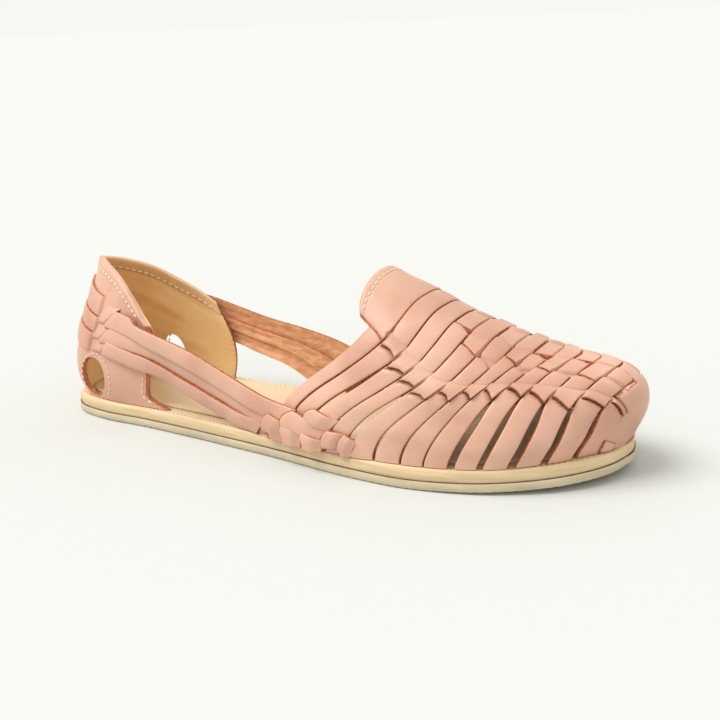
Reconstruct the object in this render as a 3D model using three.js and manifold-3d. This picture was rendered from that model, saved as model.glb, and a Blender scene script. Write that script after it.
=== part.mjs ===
// Right huarache sandal: woven leather vamp with a tab, three side straps a side, heel counter, flat sole.
// Millimetres. +X runs from heel to toe, -Y is the outer (lateral) side, +Z is up.
import * as THREE from 'three';
import { mergeVertices } from 'three/addons/utils/BufferGeometryUtils.js';
import Module from 'manifold-3d';

const wasm = await Module();
wasm.setup();

// Driving dimensions
const SOLE_LENGTH = 255;
const BALL_WIDTH = 87;
const INSTEP_RISE = 63;
const HEEL_RISE = 59.3;
const OUTSOLE_THICKNESS = 4;
const MIDSOLE_THICKNESS = 4.1;
const INSOLE_THICKNESS = 1;
const SOLE_EDGE_BEVEL = 0.7;
const MIDSOLE_STEP = 0.4;
const INSOLE_INSET = 7.2;
const TOE_SPRING = 3.7;
const TOE_SPRING_SHARE = 0.7;
const PIECE_GAP = 0.3;
const STRIP_THICKNESS = 2;
const STRIP_LIFT = 1.5;
const PANEL_THICKNESS = 1.6;
const WEAVE_RISE = 1.1;
const STRIP_SHARE = 0.88;
const TAB_THICKNESS = 2.2;
const TUCK_DEPTH = 0.9;
const TAB_TUCK_DEPTH = 1.9;
const TUCK_SHARE = 0.05;
const COUNTER_WALL = 2.6;
const COUNTER_STEP = 1.4;
const BAND_RISE = 2;
const HEEL_HOLE_HEIGHT = 18;
const HEEL_HOLE_SILL = 0.6;
const HEEL_HOLE_TURN = 24;
const STRAP_THICKNESS = 2;
const STRAP_CLEARANCE = 0.7;
const STRAP_SWELL = 1.2;

// Heights at which the layers start
const MIDSOLE_FLOOR = OUTSOLE_THICKNESS + PIECE_GAP;
const FOOTBED = MIDSOLE_FLOOR + MIDSOLE_THICKNESS + PIECE_GAP;

// Colours
const COLOURS = {
  leather: 0xdcab92,
  lining: 0xd9b27c,
  midsole: 0xe2c9a0,
  outsole: 0xcdbf9f,
  footbed: 0xe6cda3,
};

// Sole outline: along is a share of the length, lateral and medial are shares of the ball width
const SOLE_OUTLINE = [
  { along: 0.0, lateral: 0.0, medial: 0.0 },
  { along: 0.008, lateral: 0.138, medial: 0.138 },
  { along: 0.024, lateral: 0.213, medial: 0.213 },
  { along: 0.047, lateral: 0.264, medial: 0.264 },
  { along: 0.078, lateral: 0.293, medial: 0.302 },
  { along: 0.125, lateral: 0.317, medial: 0.331 },
  { along: 0.196, lateral: 0.324, medial: 0.335 },
  { along: 0.294, lateral: 0.354, medial: 0.312 },
  { along: 0.392, lateral: 0.391, medial: 0.31 },
  { along: 0.49, lateral: 0.432, medial: 0.333 },
  { along: 0.588, lateral: 0.484, medial: 0.382 },
  { along: 0.647, lateral: 0.506, medial: 0.432 },
  { along: 0.706, lateral: 0.516, medial: 0.471 },
  { along: 0.765, lateral: 0.498, medial: 0.487 },
  { along: 0.824, lateral: 0.456, medial: 0.483 },
  { along: 0.871, lateral: 0.397, medial: 0.46 },
  { along: 0.91, lateral: 0.331, medial: 0.425 },
  { along: 0.941, lateral: 0.259, medial: 0.368 },
  { along: 0.969, lateral: 0.167, medial: 0.299 },
  { along: 0.988, lateral: 0.069, medial: 0.218 },
  { along: 1.0, lateral: -0.075, medial: 0.075 },
];

// Top of the vamp, a row for each cross strip: ridgeX as a share of the length, ridgeY of the ball width,
// ridgeZ of the instep rise. square is the section's squareness, tuck is where a side strip dives in.
const VAMP_TOP = [
  { ridgeX: 0.606, ridgeY: 0, ridgeZ: 0.99, square: 2.4, tuck: 0.42 },
  { ridgeX: 0.635, ridgeY: 0, ridgeZ: 0.933, square: 2.5, tuck: 0.44 },
  { ridgeX: 0.665, ridgeY: 0.006, ridgeZ: 0.876, square: 2.7, tuck: 0.47 },
  { ridgeX: 0.696, ridgeY: 0.011, ridgeZ: 0.814, square: 2.75, tuck: 0.52 },
  { ridgeX: 0.725, ridgeY: 0.017, ridgeZ: 0.757, square: 2.6, tuck: 0.56 },
  { ridgeX: 0.753, ridgeY: 0.023, ridgeZ: 0.702, square: 2.55, tuck: 0.59 },
  { ridgeX: 0.782, ridgeY: 0.029, ridgeZ: 0.651, square: 2.55, tuck: 0.61 },
  { ridgeX: 0.814, ridgeY: 0.034, ridgeZ: 0.603, square: 2.55, tuck: 0.59 },
  { ridgeX: 0.843, ridgeY: 0.04, ridgeZ: 0.563, square: 2.5, tuck: 0.53 },
  { ridgeX: 0.873, ridgeY: 0.046, ridgeZ: 0.533, square: 2.4, tuck: 0.47 },
  { ridgeX: 0.902, ridgeY: 0.052, ridgeZ: 0.511, square: 2.25, tuck: 0.43 },
  { ridgeX: 0.931, ridgeY: 0.057, ridgeZ: 0.49, square: 2.1, tuck: 0.42 },
  { ridgeX: 0.961, ridgeY: 0.066, ridgeZ: 0.462, square: 2.05, tuck: 0.42 },
  { ridgeX: 0.986, ridgeY: 0.074, ridgeZ: 0.414, square: 2.2, tuck: 0.42 },
  { ridgeX: 1.004, ridgeY: 0.078, ridgeZ: 0.322, square: 2.5, tuck: 0.45 },
  { ridgeX: 1.007, ridgeY: 0.08, ridgeZ: 0.195, square: 2.6, tuck: 0.5 },
  { ridgeX: 0.989, ridgeY: 0.08, ridgeZ: 0.025, square: 2.2, tuck: 0.5 },
];

// Sides of the vamp, a row for each cross strip: where it meets the sole, x as a share of the length and y of
// the ball width. sweep bends it back low down and lean, a share of the length, slants it forward half way.
const VAMP_SIDE = [
  { lateralX: 0.412, lateralY: 0.368, medialX: 0.404, medialY: 0.282, sweep: 6, lean: 0.056 },
  { lateralX: 0.451, lateralY: 0.397, medialX: 0.443, medialY: 0.29, sweep: 5.6, lean: 0.058 },
  { lateralX: 0.488, lateralY: 0.425, medialX: 0.484, medialY: 0.305, sweep: 5.4, lean: 0.06 },
  { lateralX: 0.527, lateralY: 0.454, medialX: 0.523, medialY: 0.329, sweep: 5.8, lean: 0.064 },
  { lateralX: 0.565, lateralY: 0.477, medialX: 0.565, medialY: 0.351, sweep: 5.6, lean: 0.066 },
  { lateralX: 0.606, lateralY: 0.483, medialX: 0.61, medialY: 0.374, sweep: 5, lean: 0.062 },
  { lateralX: 0.647, lateralY: 0.48, medialX: 0.653, medialY: 0.402, sweep: 4.6, lean: 0.056 },
  { lateralX: 0.69, lateralY: 0.475, medialX: 0.698, medialY: 0.428, sweep: 3.8, lean: 0.054 },
  { lateralX: 0.729, lateralY: 0.468, medialX: 0.735, medialY: 0.444, sweep: 2.7, lean: 0.054 },
  { lateralX: 0.762, lateralY: 0.457, medialX: 0.771, medialY: 0.448, sweep: 2, lean: 0.054 },
  { lateralX: 0.804, lateralY: 0.434, medialX: 0.81, medialY: 0.444, sweep: 1.6, lean: 0.054 },
  { lateralX: 0.842, lateralY: 0.398, medialX: 0.847, medialY: 0.431, sweep: 1.45, lean: 0.054 },
  { lateralX: 0.878, lateralY: 0.338, medialX: 0.884, medialY: 0.408, sweep: 1.45, lean: 0.052 },
  { lateralX: 0.918, lateralY: 0.247, medialX: 0.924, medialY: 0.362, sweep: 1.6, lean: 0.054 },
  { lateralX: 0.949, lateralY: 0.141, medialX: 0.955, medialY: 0.293, sweep: 2, lean: 0.05 },
  { lateralX: 0.973, lateralY: 0.063, medialX: 0.976, medialY: 0.207, sweep: 2, lean: 0.03 },
  { lateralX: 0.985, lateralY: -0.023, medialX: 0.987, medialY: 0.126, sweep: 2, lean: 0 },
];
const FIRST_STRIP = -1;
const SWEEP_HOLD = 6;
const LAST_CORE_X = 0.9;
const LAST_CORE_Y = 0.03;
const BASE_SHARE = 0.995;

// Parts of the vamp, by the strips between which they run
const PANEL_FROM = 1.6;
const PANEL_TO = 13.4;
const UNDERLAY_FROM = 0.56;
const UNDERLAY_TO = 2.2;
const TOE_FROM = 13.2;
const TOE_TO = 14.98;
const BRAID_FROM = -1;
const BRAID_TO = 4.2;
const BRAID_TOP = 0.9;

// Tab over the instep: its rear edge at the middle, how much further forward its corners are, its front edge
const TAB_REAR = -0.95;
const TAB_CORNER = 0.7;
const TAB_CORNER_POWER = 9;
const TAB_FRONT = 1.5;

// Rear and front edges of the cross strips half way up their sides, in strip numbers
const SIDE_STRIPS = [
  { strip: 1, rear: 0.82, front: 1.52 },
  { strip: 2, rear: 1.6, front: 2.38 },
  { strip: 3, rear: 2.58, front: 3.42 },
  { strip: 4, rear: 3.5, front: 4.3 },
  { strip: 5, rear: 4.58, front: 5.46 },
  { strip: 6, rear: 5.54, front: 6.46 },
  { strip: 7, rear: 6.54, front: 7.46 },
  { strip: 8, rear: 7.54, front: 8.44 },
  { strip: 9, rear: 8.68, front: 9.42 },
  { strip: 10, rear: 9.64, front: 10.46 },
  { strip: 11, rear: 10.76, front: 11.48 },
  { strip: 12, rear: 11.68, front: 12.42 },
  { strip: 13, rear: 12.6, front: 13.6 },
];

// Heel counter, from the back centre to the front edge: x and forward as shares of the length,
// y and bulge as shares of the ball width, topZ as a share of the heel rise
const COUNTER = [
  { baseX: 0.017, baseY: 0.0, topX: 0.039, topY: 0.0, topZ: 1.0, bulge: 0.092, forward: 0.0 },
  { baseX: 0.027, baseY: 0.126, topX: 0.054, topY: 0.041, topZ: 0.993, bulge: 0.088, forward: 0.0 },
  { baseX: 0.052, baseY: 0.214, topX: 0.082, topY: 0.097, topZ: 0.963, bulge: 0.074, forward: 0.0 },
  { baseX: 0.088, baseY: 0.26, topX: 0.12, topY: 0.156, topZ: 0.901, bulge: 0.053, forward: 0.0 },
  { baseX: 0.137, baseY: 0.285, topX: 0.157, topY: 0.216, topZ: 0.798, bulge: 0.039, forward: 0.004 },
  { baseX: 0.192, baseY: 0.294, topX: 0.186, topY: 0.266, topZ: 0.703, bulge: 0.023, forward: 0.012 },
  { baseX: 0.247, baseY: 0.299, topX: 0.212, topY: 0.299, topZ: 0.604, bulge: 0.011, forward: 0.019 },
];
const COUNTER_END = COUNTER.length - 1;
// The outer side ends further back, but for its foot
const COUNTER_SHORT_END = 5.2;
const COUNTER_TIP_HEIGHT = 0.05;
const COUNTER_FOOT = 0.012;
const COUNTER_CORE_X = 0.2;
const SWELL_LOW = 0.58;
const SWELL_POWER = 1.3;
const BACK_STATIONS = 3;

// Holes through the counter beside the heel, as shares of the length
const HEEL_HOLES = {
  lateral: { x: 0.082, length: 0.066 },
  medial: { x: 0.1216, length: 0.043 },
};
const HOLE_DRILL_Y = 0.25;
const HOLE_DRILL_REACH = 0.3;

// Edges of the band of three straps on the counter: station, and height as a share of the heel rise
const STRAP_ON_COUNTER = [
  { topStation: 3.75, topHeight: 0.7, lowStation: 3.1, lowHeight: 0.335 },
  { topStation: 4.9, topHeight: 0.67, lowStation: 4.6, lowHeight: 0.3 },
  { topStation: 6, topHeight: 0.615, lowStation: 6, lowHeight: 0.262 },
];

// Edges of the band from the counter to the braid: x as shares of the length, y of the ball width,
// z of the instep rise
const STRAP_RUN = {
  lateral: [
    { topX: 0.314, topY: 0.355, topZ: 0.468, lowX: 0.294, lowY: 0.342, lowZ: 0.16 },
    { topX: 0.392, topY: 0.372, topZ: 0.348, lowX: 0.361, lowY: 0.36, lowZ: 0.071 },
    { topX: 0.463, topY: 0.404, topZ: 0.227, lowX: 0.42, lowY: 0.382, lowZ: 0.016 },
    { topX: 0.514, topY: 0.433, topZ: 0.148, lowX: 0.478, lowY: 0.414, lowZ: 0.01 },
  ],
  medial: [
    { topX: 0.314, topY: 0.318, topZ: 0.476, lowX: 0.294, lowY: 0.308, lowZ: 0.211 },
    { topX: 0.392, topY: 0.313, topZ: 0.424, lowX: 0.361, lowY: 0.301, lowZ: 0.14 },
    { topX: 0.463, topY: 0.318, topZ: 0.37, lowX: 0.42, lowY: 0.303, lowZ: 0.045 },
    { topX: 0.502, topY: 0.335, topZ: 0.3, lowX: 0.471, lowY: 0.313, lowZ: 0.01 },
  ],
};

// The three straps as shares of the band's height, and how far each one is lifted off the band's surface
const STRAPS = [
  { from: 0.0, to: 0.37, lift: 0.9 },
  { from: 0.39, to: 0.63, lift: 0.1 },
  { from: 0.67, to: 1.0, lift: 0.5 },
];

// Raised tiles of the weave: the cross strip and the stretch of it that shows on top, from ridge to side
const TILES = [
  { strip: 2, from: -1, to: 1 },
  { strip: 3, from: -1, to: 1 },
  { strip: 4, from: 0.18, to: 0.9 },
  { strip: 5, from: 0.42, to: 0.88 },
  { strip: 6, from: 0.5, to: 0.88 },
  { strip: 7, from: 0.39, to: 0.86 },
  { strip: 8, from: 0.55, to: 0.86 },
  { strip: 9, from: 0.52, to: 0.86 },
  { strip: 10, from: 0.56, to: 0.86 },
  { strip: 11, from: 0.58, to: 0.86 },
  { strip: 12, from: 0.5, to: 0.84 },
  { strip: 6, from: 0.1, to: 0.34 },
  { strip: 8, from: 0.22, to: 0.44 },
  { strip: 10, from: 0.2, to: 0.44 },
  { strip: 12, from: 0.14, to: 0.36 },
  { strip: 5, from: -0.2, to: 0.2 },
  { strip: 7, from: -0.16, to: 0.16 },
  { strip: 9, from: -0.18, to: 0.18 },
  { strip: 11, from: -0.2, to: 0.2 },
];

// Braid where straps and first strips cross by the sole: stations along the vamp and heights up its side
const BRAID_TILES = [
  { from: -1.0, to: -0.2, low: 0.905, high: 0.985 },
  { from: 0.0, to: 0.85, low: 0.9, high: 0.955 },
  { from: 0.35, to: 1.2, low: 0.96, high: 1.0 },
  { from: 1.05, to: 1.95, low: 0.91, high: 0.965 },
  { from: 1.5, to: 2.4, low: 0.965, high: 1.0 },
  { from: 2.2, to: 3.1, low: 0.93, high: 0.98 },
  { from: 3.0, to: 4.1, low: 0.95, high: 1.0 },
];

// Strips raised around the back of the heel: heights as shares of the heel rise, and the station they reach
const HEEL_STRIPS = [
  { low: 0.72, high: 0.86, reach: 2.5 },
  { low: 0.55, high: 0.7, reach: 2.55 },
  { low: 0.38, high: 0.53, reach: 2.45 },
];

// Smooth value of a table's column at a row number that may lie between rows
function sample(table, column, row) {
  const last = table.length - 1;
  const at = (index) => table[Math.min(last, Math.max(0, index))][column];
  const clamped = Math.min(last, Math.max(0, row));
  const low = Math.min(last - 1, Math.floor(clamped));
  const t = clamped - low;
  const before = low > 0 ? at(low - 1) : 2 * at(0) - at(1);
  const after = low + 2 <= last ? at(low + 2) : 2 * at(last) - at(last - 1);
  const slopeIn = (at(low + 1) - before) / 2;
  const slopeOut = (after - at(low)) / 2;
  const t2 = t * t;
  const t3 = t2 * t;
  const ends = (2 * t3 - 3 * t2 + 1) * at(low) + (3 * t2 - 2 * t3) * at(low + 1);
  return ends + (t3 - 2 * t2 + t) * slopeIn + (t3 - t2) * slopeOut;
}

// Height that the toe spring adds at a place along the sole
function spring(x) {
  const share = (x / SOLE_LENGTH - TOE_SPRING_SHARE) / (1 - TOE_SPRING_SHARE);
  return TOE_SPRING * Math.max(0, share) ** 2;
}

// Shell form

// Closed solid between two matched grids of points
function shell(rows) {
  const columns = rows[0].length;
  const positions = [];
  const outer = (i, j) => 2 * (i * columns + j);
  const inner = (i, j) => outer(i, j) + 1;
  rows.flat().forEach((pair) => positions.push(...pair.outer.toArray(), ...pair.inner.toArray()));
  const faces = [];
  const quad = (a, b, c, d) => faces.push([a, b, c], [a, c, d]);
  for (let i = 0; i < rows.length - 1; i += 1) {
    for (let j = 0; j < columns - 1; j += 1) {
      quad(outer(i, j), outer(i + 1, j), outer(i + 1, j + 1), outer(i, j + 1));
      quad(inner(i, j), inner(i, j + 1), inner(i + 1, j + 1), inner(i + 1, j));
    }
    quad(outer(i, 0), inner(i, 0), inner(i + 1, 0), outer(i + 1, 0));
    quad(outer(i, columns - 1), outer(i + 1, columns - 1), inner(i + 1, columns - 1), inner(i, columns - 1));
  }
  const end = rows.length - 1;
  for (let j = 0; j < columns - 1; j += 1) {
    quad(outer(0, j), outer(0, j + 1), inner(0, j + 1), inner(0, j));
    quad(outer(end, j), inner(end, j), inner(end, j + 1), outer(end, j + 1));
  }
  return closed(positions, faces);
}

// Geometry with shared vertices, no empty triangles and its faces pointing out
function closed(positions, faces) {
  const raw = new THREE.BufferGeometry();
  raw.setAttribute('position', new THREE.Float32BufferAttribute(positions, 3));
  raw.setIndex(faces.flat());
  const merged = mergeVertices(raw, 1e-3);
  const index = merged.getIndex().array;
  const kept = [];
  for (let k = 0; k < index.length; k += 3) {
    const [a, b, c] = [index[k], index[k + 1], index[k + 2]];
    if (a !== b && b !== c && c !== a) kept.push([a, b, c]);
  }
  const points = merged.getAttribute('position');
  const corner = (n) => new THREE.Vector3().fromBufferAttribute(points, n);
  const volume = kept.reduce((sum, [a, b, c]) => sum + corner(a).dot(corner(b).cross(corner(c))), 0);
  merged.setIndex(kept.map((face) => (volume < 0 ? [face[0], face[2], face[1]] : face)).flat());
  return merged;
}

function toSolid(geometry) {
  const vertProperties = new Float32Array(geometry.getAttribute('position').array);
  const triVerts = new Uint32Array(geometry.getIndex().array);
  return new wasm.Manifold(new wasm.Mesh({ numProp: 3, vertProperties, triVerts }));
}

function fromSolid(solid) {
  const mesh = solid.getMesh();
  const geometry = new THREE.BufferGeometry();
  geometry.setAttribute('position', new THREE.Float32BufferAttribute(mesh.vertProperties, 3));
  geometry.setIndex(Array.from(mesh.triVerts));
  return geometry;
}

function join(geometries) {
  return geometries.map(toSolid).reduce((sum, solid) => sum.add(solid));
}

function steps(from, to, count) {
  return Array.from({ length: count + 1 }, (_, k) => from + ((to - from) * k) / count);
}

function sideOf(sign) {
  return sign < 0 ? 'lateral' : 'medial';
}

// Point on a surface moved along its outward normal
function lifted(surface, a, b, lift, inside) {
  const reach = 0.01;
  const point = surface(a, b);
  const alongA = surface(a + reach, b).sub(surface(a - reach, b));
  const alongB = surface(a, b + reach).sub(surface(a, b - reach));
  const normal = alongA.cross(alongB).normalize();
  if (normal.dot(point.clone().sub(inside(point))) < 0) normal.negate();
  return point.addScaledVector(normal, lift);
}

// Sole

function outlinePoint(row, side) {
  const x = sample(SOLE_OUTLINE, 'along', row) * SOLE_LENGTH;
  const half = sample(SOLE_OUTLINE, side, row) * BALL_WIDTH;
  return new THREE.Vector2(x, side === 'lateral' ? -half : half);
}

// Outline point moved inwards from the edge
function insetPoint(row, side, inset) {
  const reach = 0.05;
  const last = SOLE_OUTLINE.length - 1;
  const point = outlinePoint(row, side);
  if (row === 0) return point.add(new THREE.Vector2(inset, 0));
  if (row === last) return point.add(new THREE.Vector2(-inset, 0));
  const along = outlinePoint(row + reach, side).sub(outlinePoint(row - reach, side)).normalize();
  const inwards = new THREE.Vector2(-along.y, along.x);
  if (side === 'medial') inwards.negate();
  return point.addScaledVector(inwards, inset);
}

// Layer of the sole through levels, each with a height and an inset from the outline
function soleLayer(levels) {
  const last = SOLE_OUTLINE.length - 1;
  const positions = [];
  levels.forEach(({ height, inset }) => {
    for (let row = 0; row <= last; row += 1) {
      ['lateral', 'medial'].forEach((side) => {
        const point = insetPoint(row, side, inset);
        positions.push(point.x, point.y, height + spring(point.x));
      });
    }
  });
  const size = 2 * (last + 1);
  const vertex = (level, row, side) => level * size + 2 * row + side;
  const faces = [];
  const quad = (a, b, c, d) => faces.push([a, b, c], [a, c, d]);
  const top = levels.length - 1;
  for (let row = 0; row < last; row += 1) {
    quad(vertex(0, row, 0), vertex(0, row, 1), vertex(0, row + 1, 1), vertex(0, row + 1, 0));
    quad(vertex(top, row, 0), vertex(top, row + 1, 0), vertex(top, row + 1, 1), vertex(top, row, 1));
    for (let level = 0; level < top; level += 1) {
      const up = level + 1;
      quad(vertex(level, row, 0), vertex(level, row + 1, 0), vertex(up, row + 1, 0), vertex(up, row, 0));
      quad(vertex(level, row, 1), vertex(up, row, 1), vertex(up, row + 1, 1), vertex(level, row + 1, 1));
    }
  }
  for (let level = 0; level < top; level += 1) {
    const up = level + 1;
    quad(vertex(level, 0, 1), vertex(level, 0, 0), vertex(up, 0, 0), vertex(up, 0, 1));
    quad(vertex(level, last, 0), vertex(level, last, 1), vertex(up, last, 1), vertex(up, last, 0));
  }
  return closed(positions, faces);
}

function outsole() {
  return soleLayer([
    { height: 0, inset: SOLE_EDGE_BEVEL },
    { height: SOLE_EDGE_BEVEL, inset: 0 },
    { height: OUTSOLE_THICKNESS, inset: 0 },
  ]);
}

function midsole() {
  const top = MIDSOLE_FLOOR + MIDSOLE_THICKNESS;
  return soleLayer([
    { height: MIDSOLE_FLOOR, inset: MIDSOLE_STEP },
    { height: top - SOLE_EDGE_BEVEL, inset: MIDSOLE_STEP },
    { height: top, inset: MIDSOLE_STEP + SOLE_EDGE_BEVEL },
  ]);
}

function insole() {
  return soleLayer([
    { height: FOOTBED, inset: INSOLE_INSET },
    { height: FOOTBED + INSOLE_THICKNESS, inset: INSOLE_INSET },
  ]);
}

// Vamp

// Point of the last under a cross strip: around runs from -1 at the lateral base to 1 at the medial one
function vampPoint(strip, around) {
  const row = strip - FIRST_STRIP;
  const side = around < 0 ? 'lateral' : 'medial';
  const ridge = new THREE.Vector3(
    sample(VAMP_TOP, 'ridgeX', row) * SOLE_LENGTH,
    sample(VAMP_TOP, 'ridgeY', row) * BALL_WIDTH,
    sample(VAMP_TOP, 'ridgeZ', row) * INSTEP_RISE,
  );
  const baseX = sample(VAMP_SIDE, `${side}X`, row) * SOLE_LENGTH;
  const baseY = sample(VAMP_SIDE, `${side}Y`, row) * BALL_WIDTH * Math.sign(around || 1);
  const angle = (Math.min(1, Math.abs(around)) * Math.PI) / 2;
  const power = 2 / sample(VAMP_TOP, 'square', row);
  const back = Math.sin(angle) ** sample(VAMP_SIDE, 'sweep', row);
  const slant = Math.sin(angle) ** SWEEP_HOLD * Math.cos(angle);
  const ahead = sample(VAMP_SIDE, 'lean', row) * SOLE_LENGTH * slant;
  const x = ridge.x + (baseX - ridge.x) * back + ahead;
  const y = ridge.y + (baseY - ridge.y) * Math.sin(angle) ** power;
  const rise = ridge.z * Math.max(0, Math.cos(angle)) ** power;
  return new THREE.Vector3(x, y, FOOTBED + spring(x) + rise);
}

function vampInside(point) {
  const x = Math.min(point.x, SOLE_LENGTH * LAST_CORE_X);
  return new THREE.Vector3(x, BALL_WIDTH * LAST_CORE_Y, FOOTBED);
}

// Outer and inner point of the vamp at a place, lifted off the last
function vampPair(strip, around, under, over) {
  const safe = Math.sign(around) * Math.min(BASE_SHARE, Math.abs(around));
  const outer = lifted(vampPoint, strip, safe, over, vampInside);
  const inner = lifted(vampPoint, strip, safe, under, vampInside);
  if (Math.abs(around) >= BASE_SHARE) {
    outer.z = FOOTBED + spring(outer.x);
    inner.z = FOOTBED + spring(inner.x);
  }
  return { outer, inner };
}

// Sheet of the vamp between lines of strips and around values
function vampSheet(strips, arounds, under, over) {
  return shell(strips.map((strip) => arounds(strip).map((around) => vampPair(strip, around, under, over))));
}

function tuckAt(strip) {
  return sample(VAMP_TOP, 'tuck', strip - FIRST_STRIP);
}

// Line across the panel, from edge to edge
function acrossPanel(count) {
  const shares = steps(-1, 1, count);
  return (strip) => shares.map((share) => share * tuckAt(strip));
}

// Middle panel that the cross strips weave through
function panel() {
  return vampSheet(steps(PANEL_FROM, PANEL_TO, 16), acrossPanel(10), 0, PANEL_THICKNESS);
}

// Hidden part of the first cross strip, which holds the panel's rear edge under the tab
function underlay() {
  const clear = 3 * PIECE_GAP;
  return vampSheet(steps(UNDERLAY_FROM, UNDERLAY_TO, 3), acrossPanel(10), -TAB_TUCK_DEPTH, -clear);
}

// Wide piece that wraps down over the toe
function toePiece() {
  return vampSheet(steps(TOE_FROM, TOE_TO, 5), () => steps(-1, 1, 14), 0, STRIP_THICKNESS);
}

// Side part of one cross strip, from the sole to under the panel's edge
function sideStrip({ strip, rear, front }, sign) {
  const half = STRIP_SHARE / 2;
  const underTab = strip === 1;
  const depth = underTab ? TAB_TUCK_DEPTH : TUCK_DEPTH;
  const edges = [{ high: strip - half, low: rear }, { high: strip + half, low: front }];
  return shell(edges.map(({ high, low }) => {
    const tuck = tuckAt(underTab ? high : strip);
    const arounds = [tuck - TUCK_SHARE, tuck + TUCK_SHARE / 4, ...steps(tuck + TUCK_SHARE, 1, 5)];
    return arounds.map((around) => {
      const drop = around < tuck + TUCK_SHARE / 2 ? depth : 0;
      const down = Math.min(1, Math.max(0, (2 * (around - tuck)) / (1 - tuck)));
      const line = high + (low - high) * down;
      return vampPair(line, sign * around, STRIP_LIFT - STRIP_THICKNESS - drop, STRIP_LIFT - drop);
    });
  }));
}

// Stretch of a cross strip that lies over the panel
function tile({ strip, from, to }, sign) {
  const half = STRIP_SHARE / 2;
  const edge = tuckAt(strip);
  const count = Math.max(1, Math.round((to - from) * 5));
  const arounds = steps(sign * from * edge, sign * to * edge, count);
  const under = strip === 2 ? PIECE_GAP - TAB_TUCK_DEPTH : PIECE_GAP;
  return vampSheet([strip - half, strip + half], () => arounds, under, PANEL_THICKNESS + WEAVE_RISE);
}

// Counter

// Point on the counter's outside: station counts from the back centre to the front edge
function counterPoint(station, height, sign) {
  const value = (column) => sample(COUNTER, column, Math.abs(station));
  const top = value('topZ');
  const up = Math.max(0, height / top);
  const swell = Math.sin(Math.PI * Math.min(1, up) ** SWELL_LOW) ** SWELL_POWER;
  const ahead = value('forward') * SOLE_LENGTH * Math.sin(Math.PI * Math.min(1, up));
  const turn = (Math.min(1, Math.abs(station) / BACK_STATIONS) * Math.PI) / 2;
  const bulge = value('bulge') * BALL_WIDTH * swell;
  const x = (value('baseX') + (value('topX') - value('baseX')) * up) * SOLE_LENGTH;
  const y = (value('baseY') + (value('topY') - value('baseY')) * up) * BALL_WIDTH;
  return new THREE.Vector3(
    x + ahead - bulge * Math.cos(turn),
    sign * (y + bulge * Math.sin(turn)),
    FOOTBED + height * HEEL_RISE,
  );
}

function counterInside(point) {
  return new THREE.Vector3(SOLE_LENGTH * COUNTER_CORE_X, 0, point.z);
}

function counterLift(station, height, lift) {
  const surface = (a, b) => counterPoint(a, b, a < 0 ? -1 : 1);
  const low = Math.max(height, COUNTER_FOOT);
  const point = lifted(surface, station, low, lift, counterInside);
  point.z = FOOTBED + height * HEEL_RISE;
  return point;
}

// Draws the stations of the outer side back to its shorter front edge
function counterStation(station, height) {
  if (station >= 0) return station;
  const tip = Math.max(0, 1 - height / COUNTER_TIP_HEIGHT);
  const end = COUNTER_SHORT_END + (COUNTER_END - COUNTER_SHORT_END) * tip;
  return station * end / COUNTER_END;
}

function counterSheet(stations, heights, under, over) {
  return shell(stations.map((station) => heights(station).map((height) => ({
    outer: counterLift(station, height, over),
    inner: counterLift(station, height, under),
  }))));
}

// Slanted band in front of which the straps dive into their slots: stations that it lies behind them
const BAND_REAR = 0.62;
const BAND_FRONT = 0.12;

function slotBand(sign) {
  const [rear] = STRAP_ON_COUNTER;
  const slant = (rear.topStation - rear.lowStation) / (rear.topHeight - rear.lowHeight);
  const heights = steps(rear.lowHeight, rear.topHeight, 4);
  const edge = (height, back) => sign * (rear.lowStation - back + slant * (height - rear.lowHeight));
  return shell([BAND_REAR, BAND_FRONT].map((back) => heights.map((height) => ({
    outer: counterLift(edge(height, back), height, BAND_RISE),
    inner: counterLift(edge(height, back), height, -COUNTER_STEP),
  }))));
}

function heelWall() {
  const shares = steps(0, 1, 7);
  return shell(steps(-COUNTER_END, COUNTER_END, 26).map((station) => {
    const short = counterStation(station, COUNTER_TIP_HEIGHT);
    const top = sample(COUNTER, 'topZ', Math.abs(short));
    return shares.map((share) => {
      const height = share * top;
      const at = counterStation(station, height);
      return { outer: counterLift(at, height, 0), inner: counterLift(at, height, -COUNTER_WALL) };
    });
  }));
}

function heelCounter() {
  const strips = HEEL_STRIPS.map(({ low, high, reach }) => counterSheet(
    steps(-reach, reach, 12),
    () => [low, high],
    -COUNTER_STEP,
    COUNTER_STEP / 2,
  ));
  const bands = [-1, 1].map(slotBand);
  const holes = [-1, 1].map(heelHole);
  return holes.reduce((body, hole) => body.subtract(toSolid(hole)), join([heelWall(), ...strips, ...bands]));
}

function heelHole(sign) {
  const { x, length } = HEEL_HOLES[sideOf(sign)];
  const drill = new THREE.CylinderGeometry(0.5, 0.5, BALL_WIDTH * HOLE_DRILL_REACH, 24);
  drill.deleteAttribute('normal');
  drill.deleteAttribute('uv');
  drill.scale(length * SOLE_LENGTH, 1, HEEL_HOLE_HEIGHT);
  drill.rotateZ(sign * THREE.MathUtils.degToRad(HEEL_HOLE_TURN));
  const middle = FOOTBED + HEEL_HOLE_SILL + HEEL_HOLE_HEIGHT / 2;
  drill.translate(x * SOLE_LENGTH, sign * BALL_WIDTH * HOLE_DRILL_Y, middle);
  return mergeVertices(drill, 1e-3);
}

// Straps

const STRAP_FROM = 0.05;
const STRAP_TO = 6;

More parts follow.
